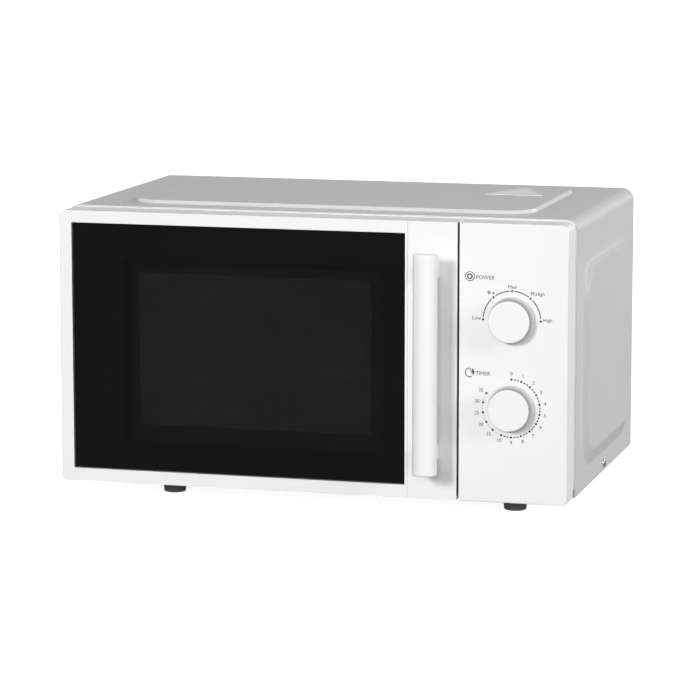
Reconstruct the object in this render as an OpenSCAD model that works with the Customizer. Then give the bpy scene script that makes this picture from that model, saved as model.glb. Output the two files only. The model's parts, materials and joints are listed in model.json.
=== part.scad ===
// Table-top microwave oven with a swing door, two turning dials and a glass turntable.
// Modules are drawn in the cabinet frame: x across from the middle, y back from the front
// face, z up from the lower edge of the door. in_place() moves them to the part's own frame.

/* [Cabinet] */
// Width over the flat sides of the cover
cover_w = 443; // [443:1:450]
// Top of the flat cover above the door's lower edge
cover_top = 233.5; // [233.5:0.5:238]
// Cover's rear edge, back from the front face
cover_back = 280.5; // [280.5:0.5:286]
// Radius of the cover's long top edges
cover_edge_r = 10; // [8:1:12]
// Thickness of the steel sheet
sheet = 0.8; // [0.7:0.1:0.9]
// Height of the pressed panel on each side
side_press_h = 4.5; // [3:0.5:5]
// Height of the pressed panel on the top
top_press_h = 3; // [2:0.5:4]
// How far the rear bulge stands out behind the cover
bulge_d = 19.5; // [19.5:0.5:24]
// Height of the rubber feet below the door's lower edge
foot_h = 15; // [13:1:18]

/* [Door] */
// Half of the width over the door and the control panel
face_half_w = 219.6; // [219.6:0.1:221]
// Height of the door and the control panel
face_h = 232; // [232:0.5:233]
// Depth of the door
door_d = 27.5; // [27:0.1:27.6]
// Right edge of the door
door_right = 126.7; // [126.2:0.1:127]
// Gap between the door and the control panel
door_gap = 1.7; // [1.5:0.1:2]
// Left edge of the window glass
glass_left = -208.4; // [-209:0.1:-207]
// Right edge of the window glass
glass_right = 82.3; // [80:0.1:82.4]
// Lower edge of the window glass
glass_low = 11; // [10:0.5:12]
// Upper edge of the window glass
glass_high = 221.6; // [220:0.1:222]
// Width of the handle bar
handle_w = 20.6; // [19:0.2:22]
// Back of the handle bar, in front of the face
handle_reach = 26.7; // [25:0.1:30]
// Lower end of the handle bar
handle_low = 25.6; // [24:0.2:28]
// Upper end of the handle bar
handle_high = 208.9; // [205:0.1:210]

/* [Dials] */
// Distance of both dials from the middle of the face
dial_x = 172.8; // [172:0.1:174]
// Height of the power dial
power_z = 152.7; // [152:0.1:154]
// Height of the timer dial
timer_z = 79.4; // [79:0.1:80]
// Radius at the base of a knob
knob_base_r = 19.4; // [18:0.1:20]
// Radius at the face of a knob
knob_face_r = 17.9; // [17:0.1:18]
// How far a knob's face stands in front of the panel
knob_reach = 12.6; // [12:0.1:14]

/* [Cavity] */
// Middle of the cavity across the oven
cavity_x = -51; // [-52:0.5:-50]
// Inner width of the cavity
cavity_w = 296; // [290:1:296]
// Inner floor of the cavity
cavity_floor = 22; // [22:0.5:23]
// Inner ceiling of the cavity
cavity_ceiling = 212; // [208:1:213]
// Inner back wall of the cavity
cavity_back = 294; // [290:1:294]
// Radius of the glass tray
tray_r = 122.5; // [120:0.5:123]

/* [Hidden] */
$fn = 64;
eps = 0.01;          // overshoot of a cutting tool past the face it cuts
seat = 0.3;          // air between pieces that move past each other
run = 0.05;          // radial clearance of a turning shaft
wall = 2.5;          // thickness of moulded walls
press_fn = 32;       // facets of the pressed panels' corners

// Overall depth runs from the handle's crown to the rear bulge
handle_front = -(handle_reach + handle_w / 2);
bulge_back = cover_back + bulge_d;
mid_y = (handle_front + bulge_back) / 2;

// Planes of the front, from the door back
plate_y = door_d + 0.8;              // front of the steel front plate
plate_back = plate_y + sheet;
panel_left = door_right + door_gap;  // left edge of the control panel
cover_low = 1.25;                    // lower edge of the cover
side_in = cover_w / 2 - sheet;       // inner face of the cover's sides
top_in = cover_top - sheet;          // inner face of the cover's top

// Cavity walls
cavity_l = cavity_x - cavity_w / 2;
cavity_r = cavity_x + cavity_w / 2;
cavity_wall_r = cavity_r + sheet;    // outer face of the right wall
spin_y = 161;                        // turntable axis, back from the face

// Door hinge axis
pin_x = -face_half_w + 4.75;
pin_y = 21;
pin_r = 2.5;
hinge_arm_z = [3.8, 226.6];          // undersides of the two hinge arms
hinge_arm_t = 1.8;
hinge_boss_z = [[6, 24], [206, 226]];
seam_x = 84.6;                       // joint between the window frame and the handle panel

// Latch
latch_x = 111;
latch_w = 4;
hook_z = [72, 160];
hook_h = 8;
nose_drop = 3;
hook_back = 42;
latch_travel = 5;

// Dial gear
shaft_r = 3;
shaft_front = -9;
case_front = 8;
case_back = 46;

// Turntable
roller_r = 8;
roller_track = 92;
roller_w = 7;
axle_r = 2;
roller_z = cavity_floor + seat + roller_r;
tray_low = roller_z + roller_r + seat;
coupler_shaft_r = 3;

// Component bay
mag_y = 167;
mag_z = 150;
mag_plate_x = cavity_wall_r + 34;
fan_x = 163;
fan_z = 153;
fan_r = 44;

// ---- helpers ----

module in_place() { translate([0, -mid_y, foot_h]) children(); }

module block(lo, hi) { translate(lo) cube(hi - lo); }

module rod_x(y, z, x0, x1, r) {
    translate([x0, y, z]) rotate([0, 90, 0]) cylinder(r = r, h = x1 - x0);
}

module rod_y(x, z, y0, y1, r) {
    translate([x, y0, z]) rotate([-90, 0, 0]) cylinder(r = r, h = y1 - y0);
}

module rod_z(x, y, z0, z1, r) { translate([x, y, z0]) cylinder(r = r, h = z1 - z0); }

// Stands a flat outline drawn in x and z upright, from depth y0 to y1
module upright(y0, y1) {
    translate([0, y1, 0]) rotate([90, 0, 0]) linear_extrude(y1 - y0) children();
}

// Stands an outline drawn in y and z across the oven, from x0 to x1
module crosswise(x0, x1) {
    translate([x0, 0, 0]) rotate([90, 0, 90]) linear_extrude(x1 - x0) children();
}

// Rectangle with all corners round
module soft_rect(lo, hi, r) {
    translate([lo.x + r, lo.y]) square([hi.x - lo.x - 2 * r, hi.y - lo.y]);
    translate([lo.x, lo.y + r]) square([hi.x - lo.x, hi.y - lo.y - 2 * r]);
    for (x = [lo.x + r, hi.x - r], y = [lo.y + r, hi.y - r]) {
        translate([x, y]) circle(r);
    }
}

// What is cut away to round one corner; way points into the rectangle
module corner_waste(corner, r, way) {
    difference() {
        translate([corner.x - (way.x < 0 ? r : eps), corner.y - (way.y < 0 ? r : eps)])
            square(r + eps);
        translate(corner + r * way) circle(r);
    }
}

// Pressed panel that rises along +z from its foot outline to its smaller face outline;
// each outline is a low corner, a high corner and a corner radius, moved inward by t
module pressed_panel(foot, face, rise, t) {
    hull() {
        linear_extrude(eps)
            soft_rect(foot[0] + [t, t], foot[1] - [t, t], foot[2], $fn = press_fn);
        translate([0, 0, rise - eps])
            linear_extrude(eps)
                soft_rect(face[0] + [t, t], face[1] - [t, t], face[2], $fn = press_fn);
    }
}

// ---- cabinet ----

top_foot = [[-176, 53.5], [177, 252.5], 28];
top_face = [[-174, 55.5], [175, 250.5], 27];
side_foot = [[56.5, 19.5], [258, 193], 30];
side_face = [[60.5, 33], [252, 191], 26];
press_overlap = 0.4;  // how deep a pressed panel starts inside the sheet

// Arch outline of the cover, shrunk by t on every side
module cover_outline(t) {
    half = cover_w / 2 - t;
    high = cover_top - t;
    difference() {
        translate([-half, cover_low - (t > 0 ? eps : 0)])
            square([2 * half, high - cover_low + (t > 0 ? eps : 0)]);
        corner_waste([-half, high], cover_edge_r - t, [1, -1]);
        corner_waste([half, high], cover_edge_r - t, [-1, -1]);
    }
}

// The three pressed panels, moved inward by t to make their hollow side
module cover_pressings(t) {
    translate([0, 0, cover_top - press_overlap - t])
        pressed_panel(top_foot, top_face, top_press_h + press_overlap, t / 2);
    for (side = [0, 1]) {
        mirror([side, 0, 0])
            translate([cover_w / 2 - press_overlap - t, 0, 0])
                rotate([90, 0, 90])
                    pressed_panel(side_foot, side_face, side_press_h + press_overlap, t / 2);
    }
}

side_screw_y = 152;
side_screw_z = 8.3;

module outer_cover() color("white") in_place() {
    lip = 7;
    difference() {
        union() {
            upright(plate_y, cover_back) cover_outline(0);
            cover_pressings(0);
        }
        upright(plate_y - 1, cover_back + 1) cover_outline(sheet);
        cover_pressings(sheet);
        for (side = [-1, 1]) {
            rod_x(side_screw_y, side_screw_z, side * cover_w / 2 - 3, side * cover_w / 2 + 3,
                1.8);
        }
        // exhaust slots low on the left side
        for (k = [0 : 9]) {
            block([-cover_w / 2 - side_press_h - 1, 100 + 9 * k, 50],
                [-side_in + 1, 103 + 9 * k, 80]);
        }
    }
    // folded lower edges
    for (side = [0, 1]) {
        mirror([side, 0, 0])
            block([side_in - lip, plate_back + 1, cover_low], [side_in, cover_back - 2,
                cover_low + sheet]);
    }
}

bulge_lo = [-208, 12];
bulge_hi = [106, 224];
rear_screw_x = [-214, -70, 60, 214];

// Places where the back panel is screwed down
module at_rear_screws() {
    for (x = rear_screw_x) {
        translate([x, 0, 228.5]) children();
    }
    for (x = [-214, 214], z = [20, 90]) {
        translate([x, 0, z]) children();
    }
}

module back_panel() color("gainsboro") in_place() {
    front = cover_back - sheet;
    difference() {
        union() {
            upright(front, cover_back)
                soft_rect([-side_in + 0.1, cover_low + 1], [side_in - 0.1, top_in - 0.1], 9);
            upright(front, bulge_back) soft_rect(bulge_lo, bulge_hi, 14);
        }
        upright(front - 1, bulge_back - sheet)
            soft_rect(bulge_lo + [1, 1] * sheet, bulge_hi - [1, 1] * sheet, 13);
        // air inlet holes in front of the fan
        for (i = [-6 : 6], k = [-6 : 6]) {
            if (norm([i, k]) < 6.3) {
                rod_y(fan_x + 7 * i, fan_z + 7 * k, front - 1, cover_back + 1, 2.2);
            }
        }
        // exhaust slots in the bulge
        for (k = [0 : 13]) {
            block([-190 + 8 * k, bulge_back - 2, 150], [-186 + 8 * k, bulge_back + 1, 190]);
        }
        rod_y(gland_x, gland_z, front - 1, cover_back + 1, gland_hole_r);
        at_rear_screws() rod_y(0, 0, front - 1, cover_back + 1, 1.8);
    }
}

foot_at = [[-134.5, 50], [166, 50], [-134.5, 245], [166, 245]];
foot_stem_r = 3.5;

module base_plate() color("silver") in_place() {
    low = cover_low + 1;
    difference() {
        union() {
            block([-side_in + 8, plate_back, low], [side_in - 8, cover_back - sheet,
                low + sheet]);
            // upturned edges that take the cover's screws
            for (side = [-1, 1]) {
                block([side * (side_in - 5) - 4.4, plate_back, low],
                    [side * (side_in - 5) + 4.4, cover_back - sheet, low + sheet]);
                block([side * (side_in - 1) - 0.4, plate_back, low],
                    [side * (side_in - 1) + 0.4, cover_back - sheet, 17]);
            }
        }
        for (p = foot_at) {
            rod_z(p.x, p.y, 0, 5, foot_stem_r);
        }
        for (side = [-1, 1]) {
            rod_x(side_screw_y, side_screw_z, side * (side_in - 1) - 2,
                side * (side_in - 1) + 2, 1.4);
        }
        // cooling holes under the transformer and the magnetron
        for (i = [0 : 9], k = [0 : 5]) {
            rod_z(116 + 9 * i, 150 + 9 * k, 0, 5, 2.4);
        }
        // exhaust holes under the cavity
        for (i = [0 : 7], k = [0 : 3]) {
            rod_z(-190 + 9 * i, 190 + 9 * k, 0, 5, 2.4);
        }
    }
}

module feet() color("dimgray") in_place() {
    for (p = foot_at) {
        translate([p.x, p.y, 0]) {
            translate([0, 0, -foot_h]) cylinder(r1 = 9.4, r2 = 10.7, h = foot_h + 2.25);
            translate([0, 0, 2.2]) cylinder(r = foot_stem_r, h = 0.9);
            translate([0, 0, 3.05]) cylinder(r = 5, h = 1.6);
        }
    }
}

module cover_screws() color("silver") in_place() {
    for (side = [0, 1]) {
        mirror([side, 0, 0]) {
            rod_x(side_screw_y, side_screw_z, side_in - 5, cover_w / 2, 1.4);
            difference() {
                rod_x(side_screw_y, side_screw_z, cover_w / 2, cover_w / 2 + 1.6, 3.4);
                for (turn = [0, 90]) {
                    translate([cover_w / 2 + 1.1, side_screw_y, side_screw_z])
                        rotate([turn, 0, 0])
                            cube([1.2, 4, 0.8], center = true);
                }
            }
        }
    }
    at_rear_screws() {
        rod_y(0, 0, cover_back - 5, cover_back, 1.4);
        difference() {
            rod_y(0, 0, cover_back, cover_back + 1.6, 3.4);
            for (turn = [0, 90]) {
                translate([0, cover_back + 1.3, 0]) rotate([0, turn, 0])
                    cube([4, 0.8, 0.8], center = true);
            }
        }
    }
}

// Blank rounded triangle on the top
module caution_label() color("whitesmoke") in_place() {
    label_r = 5;
    corner = [[115.5, 176], [155.5, 176], [135, 223.5]];
    translate([0, 0, cover_top + top_press_h])
        linear_extrude(0.3)
            hull() {
                for (p = corner) {
                    translate(p) circle(label_r, $fn = 32);
                }
            }
}

gland_x = 196;
gland_z = 34;
gland_hole_r = 7;
cord_r = 3.6;

module cord_gland() color("black") in_place() {
    difference() {
        union() {
            rod_y(gland_x, gland_z, cover_back - 8, cover_back, gland_hole_r);
            rod_y(gland_x, gland_z, cover_back, cover_back + 3, gland_hole_r + 3);
            rod_y(gland_x, gland_z, cover_back - 8, cover_back - sheet - 1, gland_hole_r + 2);
        }
        rod_y(gland_x, gland_z, cover_back - 9, cover_back + 4, cord_r);
    }
}

// ---- front plate and cavity ----

module front_plate() color("white") in_place() {
    difference() {
        upright(plate_y, plate_back)
            difference() {
                soft_rect([-side_in + 0.1, 2.4], [side_in - 0.1, top_in - 0.1],
                    cover_edge_r - sheet - 0.1);
                translate([cavity_l, cavity_floor])
                    square([cavity_w, cavity_ceiling - cavity_floor]);
            }
        // opening behind the control panel
        block([134, plate_y - 1, 13], [213, plate_back + 1, 204]);
        // slots for the door hooks
        for (z = hook_z) {
            block([latch_x - 3, plate_y - 1, z - nose_drop - 2],
                [latch_x + latch_w + 3, plate_back + 1, z + hook_h + latch_travel + 2]);
        }
        // slots for the hinge arms
        for (z = hinge_arm_z) {
            block([pin_x - 5, plate_y - 1, z - 0.2], [pin_x + 5, plate_back + 1,
                z + hinge_arm_t + 0.2]);
        }
    }
}

// Plan outline of the cavity with round rear corners
module cavity_plan(grow, front) {
    left = cavity_l - grow;
    right = cavity_r + grow;
    back = cavity_back + grow;
    difference() {
        translate([left, front]) square([right - left, back - front]);
        corner_waste([left, back], 16 + grow, [1, -1]);
        corner_waste([right, back], 16 + grow, [-1, -1]);
    }
}

wave_win = [[130, 106], [182, 146]];  // mica window in the right wall, low and high corners

module cavity() color("lightgray") in_place() {
    difference() {
        translate([0, 0, cavity_floor - sheet])
            linear_extrude(cavity_ceiling - cavity_floor + 2 * sheet)
                cavity_plan(sheet, plate_back);
        translate([0, 0, cavity_floor])
            linear_extrude(cavity_ceiling - cavity_floor) cavity_plan(0, plate_y - 1);
        rod_z(cavity_x, spin_y, cavity_floor - 2, cavity_floor + 1, 9);
        block([cavity_r - 1, wave_win[0].x, wave_win[0].y],
            [cavity_wall_r + 1, wave_win[1].x, wave_win[1].y]);
        // lamp and air holes in the right wall
        for (i = [0 : 4], k = [0 : 2]) {
            rod_x(66 + 6 * i, 196 + 5 * k, cavity_r - 1, cavity_wall_r + 1, 1.6);
            rod_x(224 + 5 * i, 150 + 6 * k, cavity_r - 1, cavity_wall_r + 1, 1.6);
        }
        // steam outlet holes in the left wall
        for (i = [0 : 5], k = [0 : 2]) {
            rod_x(230 + 6 * i, 176 + 6 * k, cavity_l - 2, cavity_l + 1, 1.6);
        }
    }
}

module waveguide() color("silver") in_place() {
    difference() {
        union() {
            block([cavity_wall_r, 122, 98], [mag_plate_x, 212, 192]);
            block([cavity_wall_r, 116, 92], [cavity_wall_r + sheet, 218, 198]);
        }
        block([cavity_wall_r - 1, 122 + sheet, 98 + sheet], [mag_plate_x - sheet, 212 - sheet,
            192 - sheet]);
        rod_x(mag_y, mag_z, mag_plate_x - 2, mag_plate_x + 1, 12);
    }
}

module waveguide_cover() color("tan") in_place() {
    edge = 6;
    block([cavity_r - 0.6, wave_win[0].x - edge, wave_win[0].y - edge],
        [cavity_r, wave_win[1].x + edge, wave_win[1].y + edge]);
}

lamp_y = 70;
lamp_z = 205;

module oven_lamp() color("ivory") in_place() {
    translate([cavity_wall_r + 14, lamp_y - 8, lamp_z]) rotate([-90, 0, 0])
        rotate_extrude()
            difference() {
                union() {
                    translate([0, 11]) circle(10.5);
                    translate([0, 11]) square([7, 18]);
                    translate([0, 29]) square([6.8, 12]);
                }
                translate([-30, -30]) square([30, 90]);
            }
}

module lamp_holder() color("ivory") in_place() {
    x = cavity_wall_r + 14;
    difference() {
        union() {
            rod_y(x, lamp_z, lamp_y + 24, lamp_y + 42, 9.5);
            block([cavity_wall_r, lamp_y + 34, lamp_z - 12], [x, lamp_y + 42, lamp_z + 7]);
            block([cavity_wall_r, lamp_y - 24, lamp_z - 12], [cavity_wall_r + 1, lamp_y + 46,
                lamp_z - 11]);
        }
        rod_y(x, lamp_z, lamp_y + 23, lamp_y + 33 + eps, 6.8);
    }
}

// Hinge bracket: arm through the front plate, flange behind it, pin into the door
module hinge(arm_z, pin_z) {
    block([pin_x - 4.2, pin_y, arm_z], [pin_x + 4.2, plate_back + 1.5, arm_z + hinge_arm_t]);
    rod_z(pin_x, pin_y, arm_z, arm_z + hinge_arm_t, 4.2);
    rod_z(pin_x, pin_y, pin_z[0], pin_z[1], pin_r);
    block([pin_x - 4.2, plate_back, min(arm_z, pin_z[0])],
        [pin_x + 14, plate_back + 1.5, max(arm_z + hinge_arm_t, pin_z[1])]);
}

module hinge_upper() color("silver") in_place()
    hinge(hinge_arm_z[1], [208, hinge_arm_z[1] + hinge_arm_t]);

module hinge_lower() color("silver") in_place()
    hinge(hinge_arm_z[0], [hinge_arm_z[0], 22]);

// ---- door ----

// Door body between x0 and x1: round rear edge beside the hinge, round face corners
module door_body(x0, x1, shrink, front, back) {
    left = -face_half_w + shrink;
    intersection() {
        linear_extrude(face_h)
            difference() {
                translate([x0, front]) square([x1 - x0, back - front]);
                corner_waste([left, door_d], 6.5 - shrink, [1, -1]);
                corner_waste([-face_half_w, 0], 1.5, [1, 1]);
            }
        upright(front - 1, back + 1)
            difference() {
                translate([left, shrink])
                    square([door_right - shrink - left, face_h - 2 * shrink]);
                corner_waste([left, face_h - shrink], 6 - shrink, [1, -1]);
                corner_waste([left, shrink], 3 - shrink / 2, [1, 1]);
            }
    }
}

glass_t = 3.2;
ledge = 5;       // how far the frame reaches behind the glass

module door_frame() color("white") in_place() {
    difference() {
        union() {
            difference() {
                door_body(-face_half_w, seam_x, 0, 0, door_d);
                door_body(-face_half_w + 2, seam_x - 2, 2, glass_t + 2.6, door_d + 1);
            }
            for (z = hinge_boss_z) {
                rod_z(pin_x, pin_y, z[0], z[1], 4.5);
                block([pin_x - 4, glass_t + 2, z[0]], [pin_x + 4, pin_y, z[1]]);
            }
        }
        // rebate for the glass and the window behind it
        block([glass_left - 0.1, -1, glass_low - 0.1],
            [glass_right + 0.1, glass_t + 0.1, glass_high + 0.1]);
        block([glass_left + ledge, -1, glass_low + ledge],
            [glass_right - ledge, door_d + 1, glass_high - ledge]);
        // bores for the hinge pins
        rod_z(pin_x, pin_y, hinge_arm_z[0] - 1, 24 + eps, pin_r + run);
        rod_z(pin_x, pin_y, 206 - eps, hinge_arm_z[1] + 3, pin_r + run);
        // room for the edge of the choke cover
        block([seam_x - 3, 24.9, 4], [seam_x + 1, door_d + 1, face_h - 4]);
        // slots that let the hinge arms swing out
        for (z = hinge_arm_z) {
            block([-face_half_w - 1, 14.5, z - 0.4], [pin_x + 7, door_d + 1,
                z + hinge_arm_t + 0.4]);
        }
    }
}

module door_glass() color("black") in_place() {
    upright(0.15, glass_t)
        soft_rect([glass_left, glass_low], [glass_right, glass_high], 0.8);
}

handle_x = 106.6;
post_z = [40.5, 193];
post_h = 14;
post_w = 9;

module door_handle_panel() color("white") in_place() {
    left = seam_x + 0.15;
    difference() {
        door_body(left, door_right, 0, 0, door_d);
        block([left + 2, 2.6, 2], [door_right - 2, door_d + 1, face_h - 2]);
        block([left - 1, 6, 4], [left + 3, door_d + 1, face_h - 4]);
        for (z = post_z) {
            rod_y(handle_x, z, -1, 4, 1.6);
        }
    }
    // guides for the latch bar
    for (z = [110, 130]) {
        block([latch_x - 2.3, 2.6, z - 2], [latch_x - 0.3, 16, z + 2]);
        block([latch_x + latch_w + 0.3, 2.6, z - 2], [latch_x + latch_w + 2.3, 16, z + 2]);
    }
    // seat of the latch spring
    block([latch_x - 2, 2.6, 186], [latch_x + latch_w + 2, 16, 188]);
}

module door_handle() color("white") in_place() {
    difference() {
        union() {
            translate([handle_x, -handle_reach, handle_low])
                linear_extrude(handle_high - handle_low)
                    difference() {
                        circle(handle_w / 2);
                        translate([-handle_w, 0]) square(2 * handle_w);
                    }
            for (z = post_z) {
                block([handle_x - post_w / 2, -handle_reach - 1, z - post_h / 2],
                    [handle_x + post_w / 2, 0, z + post_h / 2]);
            }
        }
        for (z = post_z) {
            rod_y(handle_x, z, -14, 1, 1.5);
        }
    }
}

module handle_screws() color("silver") in_place() {
    for (z = post_z) {
        rod_y(handle_x, z, -13, 2.6, 1.5);
        difference() {
            rod_y(handle_x, z, 2.6, 4.8, 3.6);
            for (turn = [0, 90]) {
                translate([handle_x, 4.6, z]) rotate([0, turn, 0])
                    cube([4, 1, 0.8], center = true);
            }
        }
    }
}

screen_lo = [-205, 8];
screen_hi = [82, 224];
screen_y = 18;

module door_screen() color("dimgray") in_place() {
    view_lo = [-151.3, 47.4];
    view_hi = [51, 179.2];
    difference() {
        upright(screen_y, 25) soft_rect(screen_lo, screen_hi, 3);
        upright(screen_y + sheet, 26)
            soft_rect(screen_lo + [1, 1] * sheet, screen_hi - [1, 1] * sheet, 2.4);
        // shallow dish of the perforated field
        upright(screen_y - 1, screen_y + 0.3) soft_rect(view_lo, view_hi, 1);
    }
    // choke lip around the window
    difference() {
        upright(screen_y + sheet, 24) soft_rect([-178, 26], [74, 206], 6);
        upright(screen_y, 25) soft_rect([-178 + sheet, 26 + sheet], [74 - sheet, 206 - sheet], 5.4);
    }
}

module choke_cover() color("gray") in_place() {
    difference() {
        upright(25, door_d) soft_rect([-207, 6], [door_right - 3, 226], 4);
        upright(24, door_d + 1) soft_rect([-164, 36], [62, 194], 6);
        for (z = hook_z) {
            block([latch_x - 2, 24, z - nose_drop - 2],
                [latch_x + latch_w + 2, door_d + 1, z + hook_h + latch_travel + 2]);
        }
        for (z = hinge_boss_z) {
            rod_z(pin_x, pin_y, z[0] - 3, z[1] + 3, 8);
        }
    }
}

module inner_film() color("black", 0.5) in_place() {
    upright(screen_y + sheet, screen_y + sheet + 0.4) soft_rect([-168, 32], [66, 198], 3);
}

latch_bar_y = [17, 20];

module door_latch() color("white") in_place() {
    x1 = latch_x + latch_w;
    block([latch_x, 8, 100], [x1, 15, 140]);
    block([latch_x, latch_bar_y[0] - 3, 64], [x1, latch_bar_y[1], 170]);
    block([latch_x, 8, 168], [x1, latch_bar_y[0], 172]);
    for (z = hook_z) {
        crosswise(latch_x, x1)
            polygon([[latch_bar_y[0], z], [hook_back - 6, z], [hook_back - 6, z - nose_drop],
                [hook_back - 3, z - nose_drop], [hook_back, z + 1], [hook_back, z + 4],
                [hook_back - 4, z + hook_h], [latch_bar_y[0], z + hook_h]]);
    }
}

spring_z = [172, 186];

// Coil spring as a sleeve of stacked rings
module latch_spring() color("silver") in_place() {
    x = latch_x + latch_w / 2;
    difference() {
        union() {
            rod_z(x, 12, spring_z[0], spring_z[1], 2.4);
            for (k = [0 : 6]) {
                rod_z(x, 12, spring_z[0] + 2 * k, spring_z[0] + 2 * k + 1, 2.8);
            }
        }
        rod_z(x, 12, spring_z[0] - 1, spring_z[1] + 1, 1.8);
    }
}

// ---- interlock ----

board_x = [cavity_wall_r + 1.2, 124];

module latch_board() color("beige") in_place() {
    difference() {
        block([board_x[0], plate_back, 48], [board_x[1], 60, 196]);
        block([board_x[0] + 2, plate_back + 2, 50], [board_x[1] + 1, 58, 194]);
        // entries for the hooks
        for (z = hook_z) {
            block([latch_x - 3, plate_back - 1, z - nose_drop - 2],
                [latch_x + latch_w + 3, plate_back + 3, z + hook_h + latch_travel + 2]);
        }
    }
    // catches under the hook noses
    for (z = hook_z) {
        crosswise(board_x[0] + 1, board_x[1] - 2)
            polygon([[plate_back + 1, z - nose_drop - 8], [plate_back + 5, z - nose_drop - 0.4],
                [44, z - nose_drop - 0.4], [44, z - nose_drop - 8]]);
    }
}

switch_y = [46.5, 57.5];
plunger_front = hook_back + 0.4;
plunger_r = 1.2;
switch_z = [hook_z[0] + 3, hook_z[1] + 3];

// Three snap-action switches in the latch board, with bores for the two working plungers
module microswitches() color("black") in_place() {
    difference() {
        union() {
            for (z = switch_z) {
                block([latch_x - 3, switch_y[0], z - 11], [latch_x + 7, switch_y[1], z + 11]);
            }
            block([latch_x - 3, switch_y[0], 108], [latch_x + 7, switch_y[1], 130]);
            for (z = [switch_z[0] - 8, 119, switch_z[1] - 8], dy = [2, 7]) {
                block([latch_x + 7, switch_y[0] + dy, z - 0.4], [latch_x + 11,
                    switch_y[0] + dy + 3, z + 0.4]);
            }
        }
        for (z = switch_z) {
            rod_y(latch_x + 2, z, switch_y[0] - 1, switch_y[0] + 6, plunger_r + run);
        }
    }
}

module plunger(z) {
    rod_y(latch_x + 2, z, plunger_front, switch_y[0] + 3.5, plunger_r);
}

module plunger_upper() color("red") in_place() plunger(switch_z[1]);

module plunger_lower() color("red") in_place() plunger(switch_z[0]);

// ---- control panel and dials ----

module control_panel() color("white") in_place() {
    difference() {
        upright(0, plate_y)
            difference() {
                translate([panel_left, 0]) square([face_half_w - panel_left, face_h]);
                corner_waste([face_half_w, face_h], 6, [-1, -1]);
                corner_waste([face_half_w, 0], 3, [-1, 1]);
            }
        block([panel_left + wall, wall, wall], [face_half_w - wall, plate_y + 1,
            face_h - wall]);
        for (z = [power_z, timer_z]) {
            rod_y(dial_x, z, -1, wall + 1, shaft_r + 2.5);
        }
    }
    // shallow collars behind the dial holes
    for (z = [power_z, timer_z]) {
        difference() {
            rod_y(dial_x, z, wall, wall + 3, shaft_r + 5);
            rod_y(dial_x, z, wall - 1, wall + 4, shaft_r + 2.5);
        }
    }
}

knob_gap = 0.6;   // air between a knob and the panel

module knob(z) {
    difference() {
        union() {
            translate([dial_x, -knob_gap, z]) rotate([90, 0, 0])
                cylinder(r1 = knob_base_r, r2 = knob_face_r + 0.9,
                    h = knob_reach - knob_gap - 0.9);
            translate([dial_x, -knob_reach + 0.9, z]) rotate([90, 0, 0])
                cylinder(r1 = knob_face_r + 0.9, r2 = knob_face_r, h = 0.9);
        }
        difference() {
            rod_y(dial_x, z, -knob_reach + 2.2, 0, knob_face_r - 1.6);
            rod_y(dial_x, z, -knob_reach, 0, shaft_r + 2.6);
        }
        difference() {
            rod_y(dial_x, z, shaft_front, 0, shaft_r);
            block([dial_x - shaft_r, shaft_front - 1, z + 1.8], [dial_x + shaft_r, 1,
                z + shaft_r + 1]);
        }
    }
}

module dial_shaft(z) {
    difference() {
        rod_y(dial_x, z, shaft_front, case_front + 26, shaft_r);
        block([dial_x - 4, shaft_front - 1, z + 1.8], [dial_x + 4, 2, z + 4]);
    }
}

module power_knob() color("white") in_place() knob(power_z);

module power_shaft() color("silver") in_place() dial_shaft(power_z);

module timer_knob() color("white") in_place() knob(timer_z);

module timer_shaft() color("silver") in_place() dial_shaft(timer_z);

module timer_case() color("silver") in_place() {
    difference() {
        union() {
            block([148, case_front, 54], [198, case_back, 178]);
            block([138, case_front, 44], [209, case_front + 1.5, 188]);
            for (z = [power_z, timer_z]) {
                rod_y(dial_x, z, case_front - 2.5, case_front, 5);
            }
            // quick-connect blades on the back
            for (i = [0 : 3]) {
                block([152 + 11 * i, case_back, 150], [158 + 11 * i, case_back + 8, 150.8]);
            }
        }
        for (z = [power_z, timer_z]) {
            rod_y(dial_x, z, case_front - 4, case_front + 27, shaft_r + run);
        }
        for (x = [142, 205], z = [48, 184]) {
            rod_y(x, z, case_front - 1, case_front + 3, 1.7);
        }
    }
    // pin of the bell hammer
    rod_y(hammer_pivot.x, hammer_pivot.y, case_front, hammer_y[1] + 2, hammer_pin_r);
    rod_y(hammer_pivot.x, hammer_pivot.y, case_front, hammer_y[0] - 0.4, hammer_pin_r + 1);
    // struts that hold the case to the control panel
    for (x = [142, 205], z = [48, 184]) {
        difference() {
            rod_y(x, z, wall, case_front, 3);
            rod_y(x, z, wall + 1, case_front + 1, 1.2);
        }
    }
}

module timer_motor() color("silver") in_place() {
    rod_y(dial_x, 112, case_back, case_back + 14, 23);
    rod_y(dial_x, 112, case_back + 14, case_back + 17, 6);
}

bell_y = [20, 34];
bell_z = 31;

module timer_bell() color("silver") in_place() {
    translate([dial_x, bell_y[0], bell_z]) rotate([-90, 0, 0])
        rotate_extrude()
            difference() {
                union() {
                    translate([0, 2]) square([15, 8]);
                    translate([0, 10]) square([11, 4]);
                }
                translate([-eps, 0]) square([14, 9]);
                translate([-eps, 0]) square([2, 15]);
            }
    rod_y(dial_x, bell_z, bell_y[0] - 12, bell_y[1] + 1.5, 2);
    block([dial_x - 4, case_front, bell_z], [dial_x + 4, case_front + 1.5, 44]);
}

hammer_pivot = [191.1, 48.5];
hammer_y = [24, 27];
hammer_head_z = 33;
hammer_pin_r = 1.5;

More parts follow.
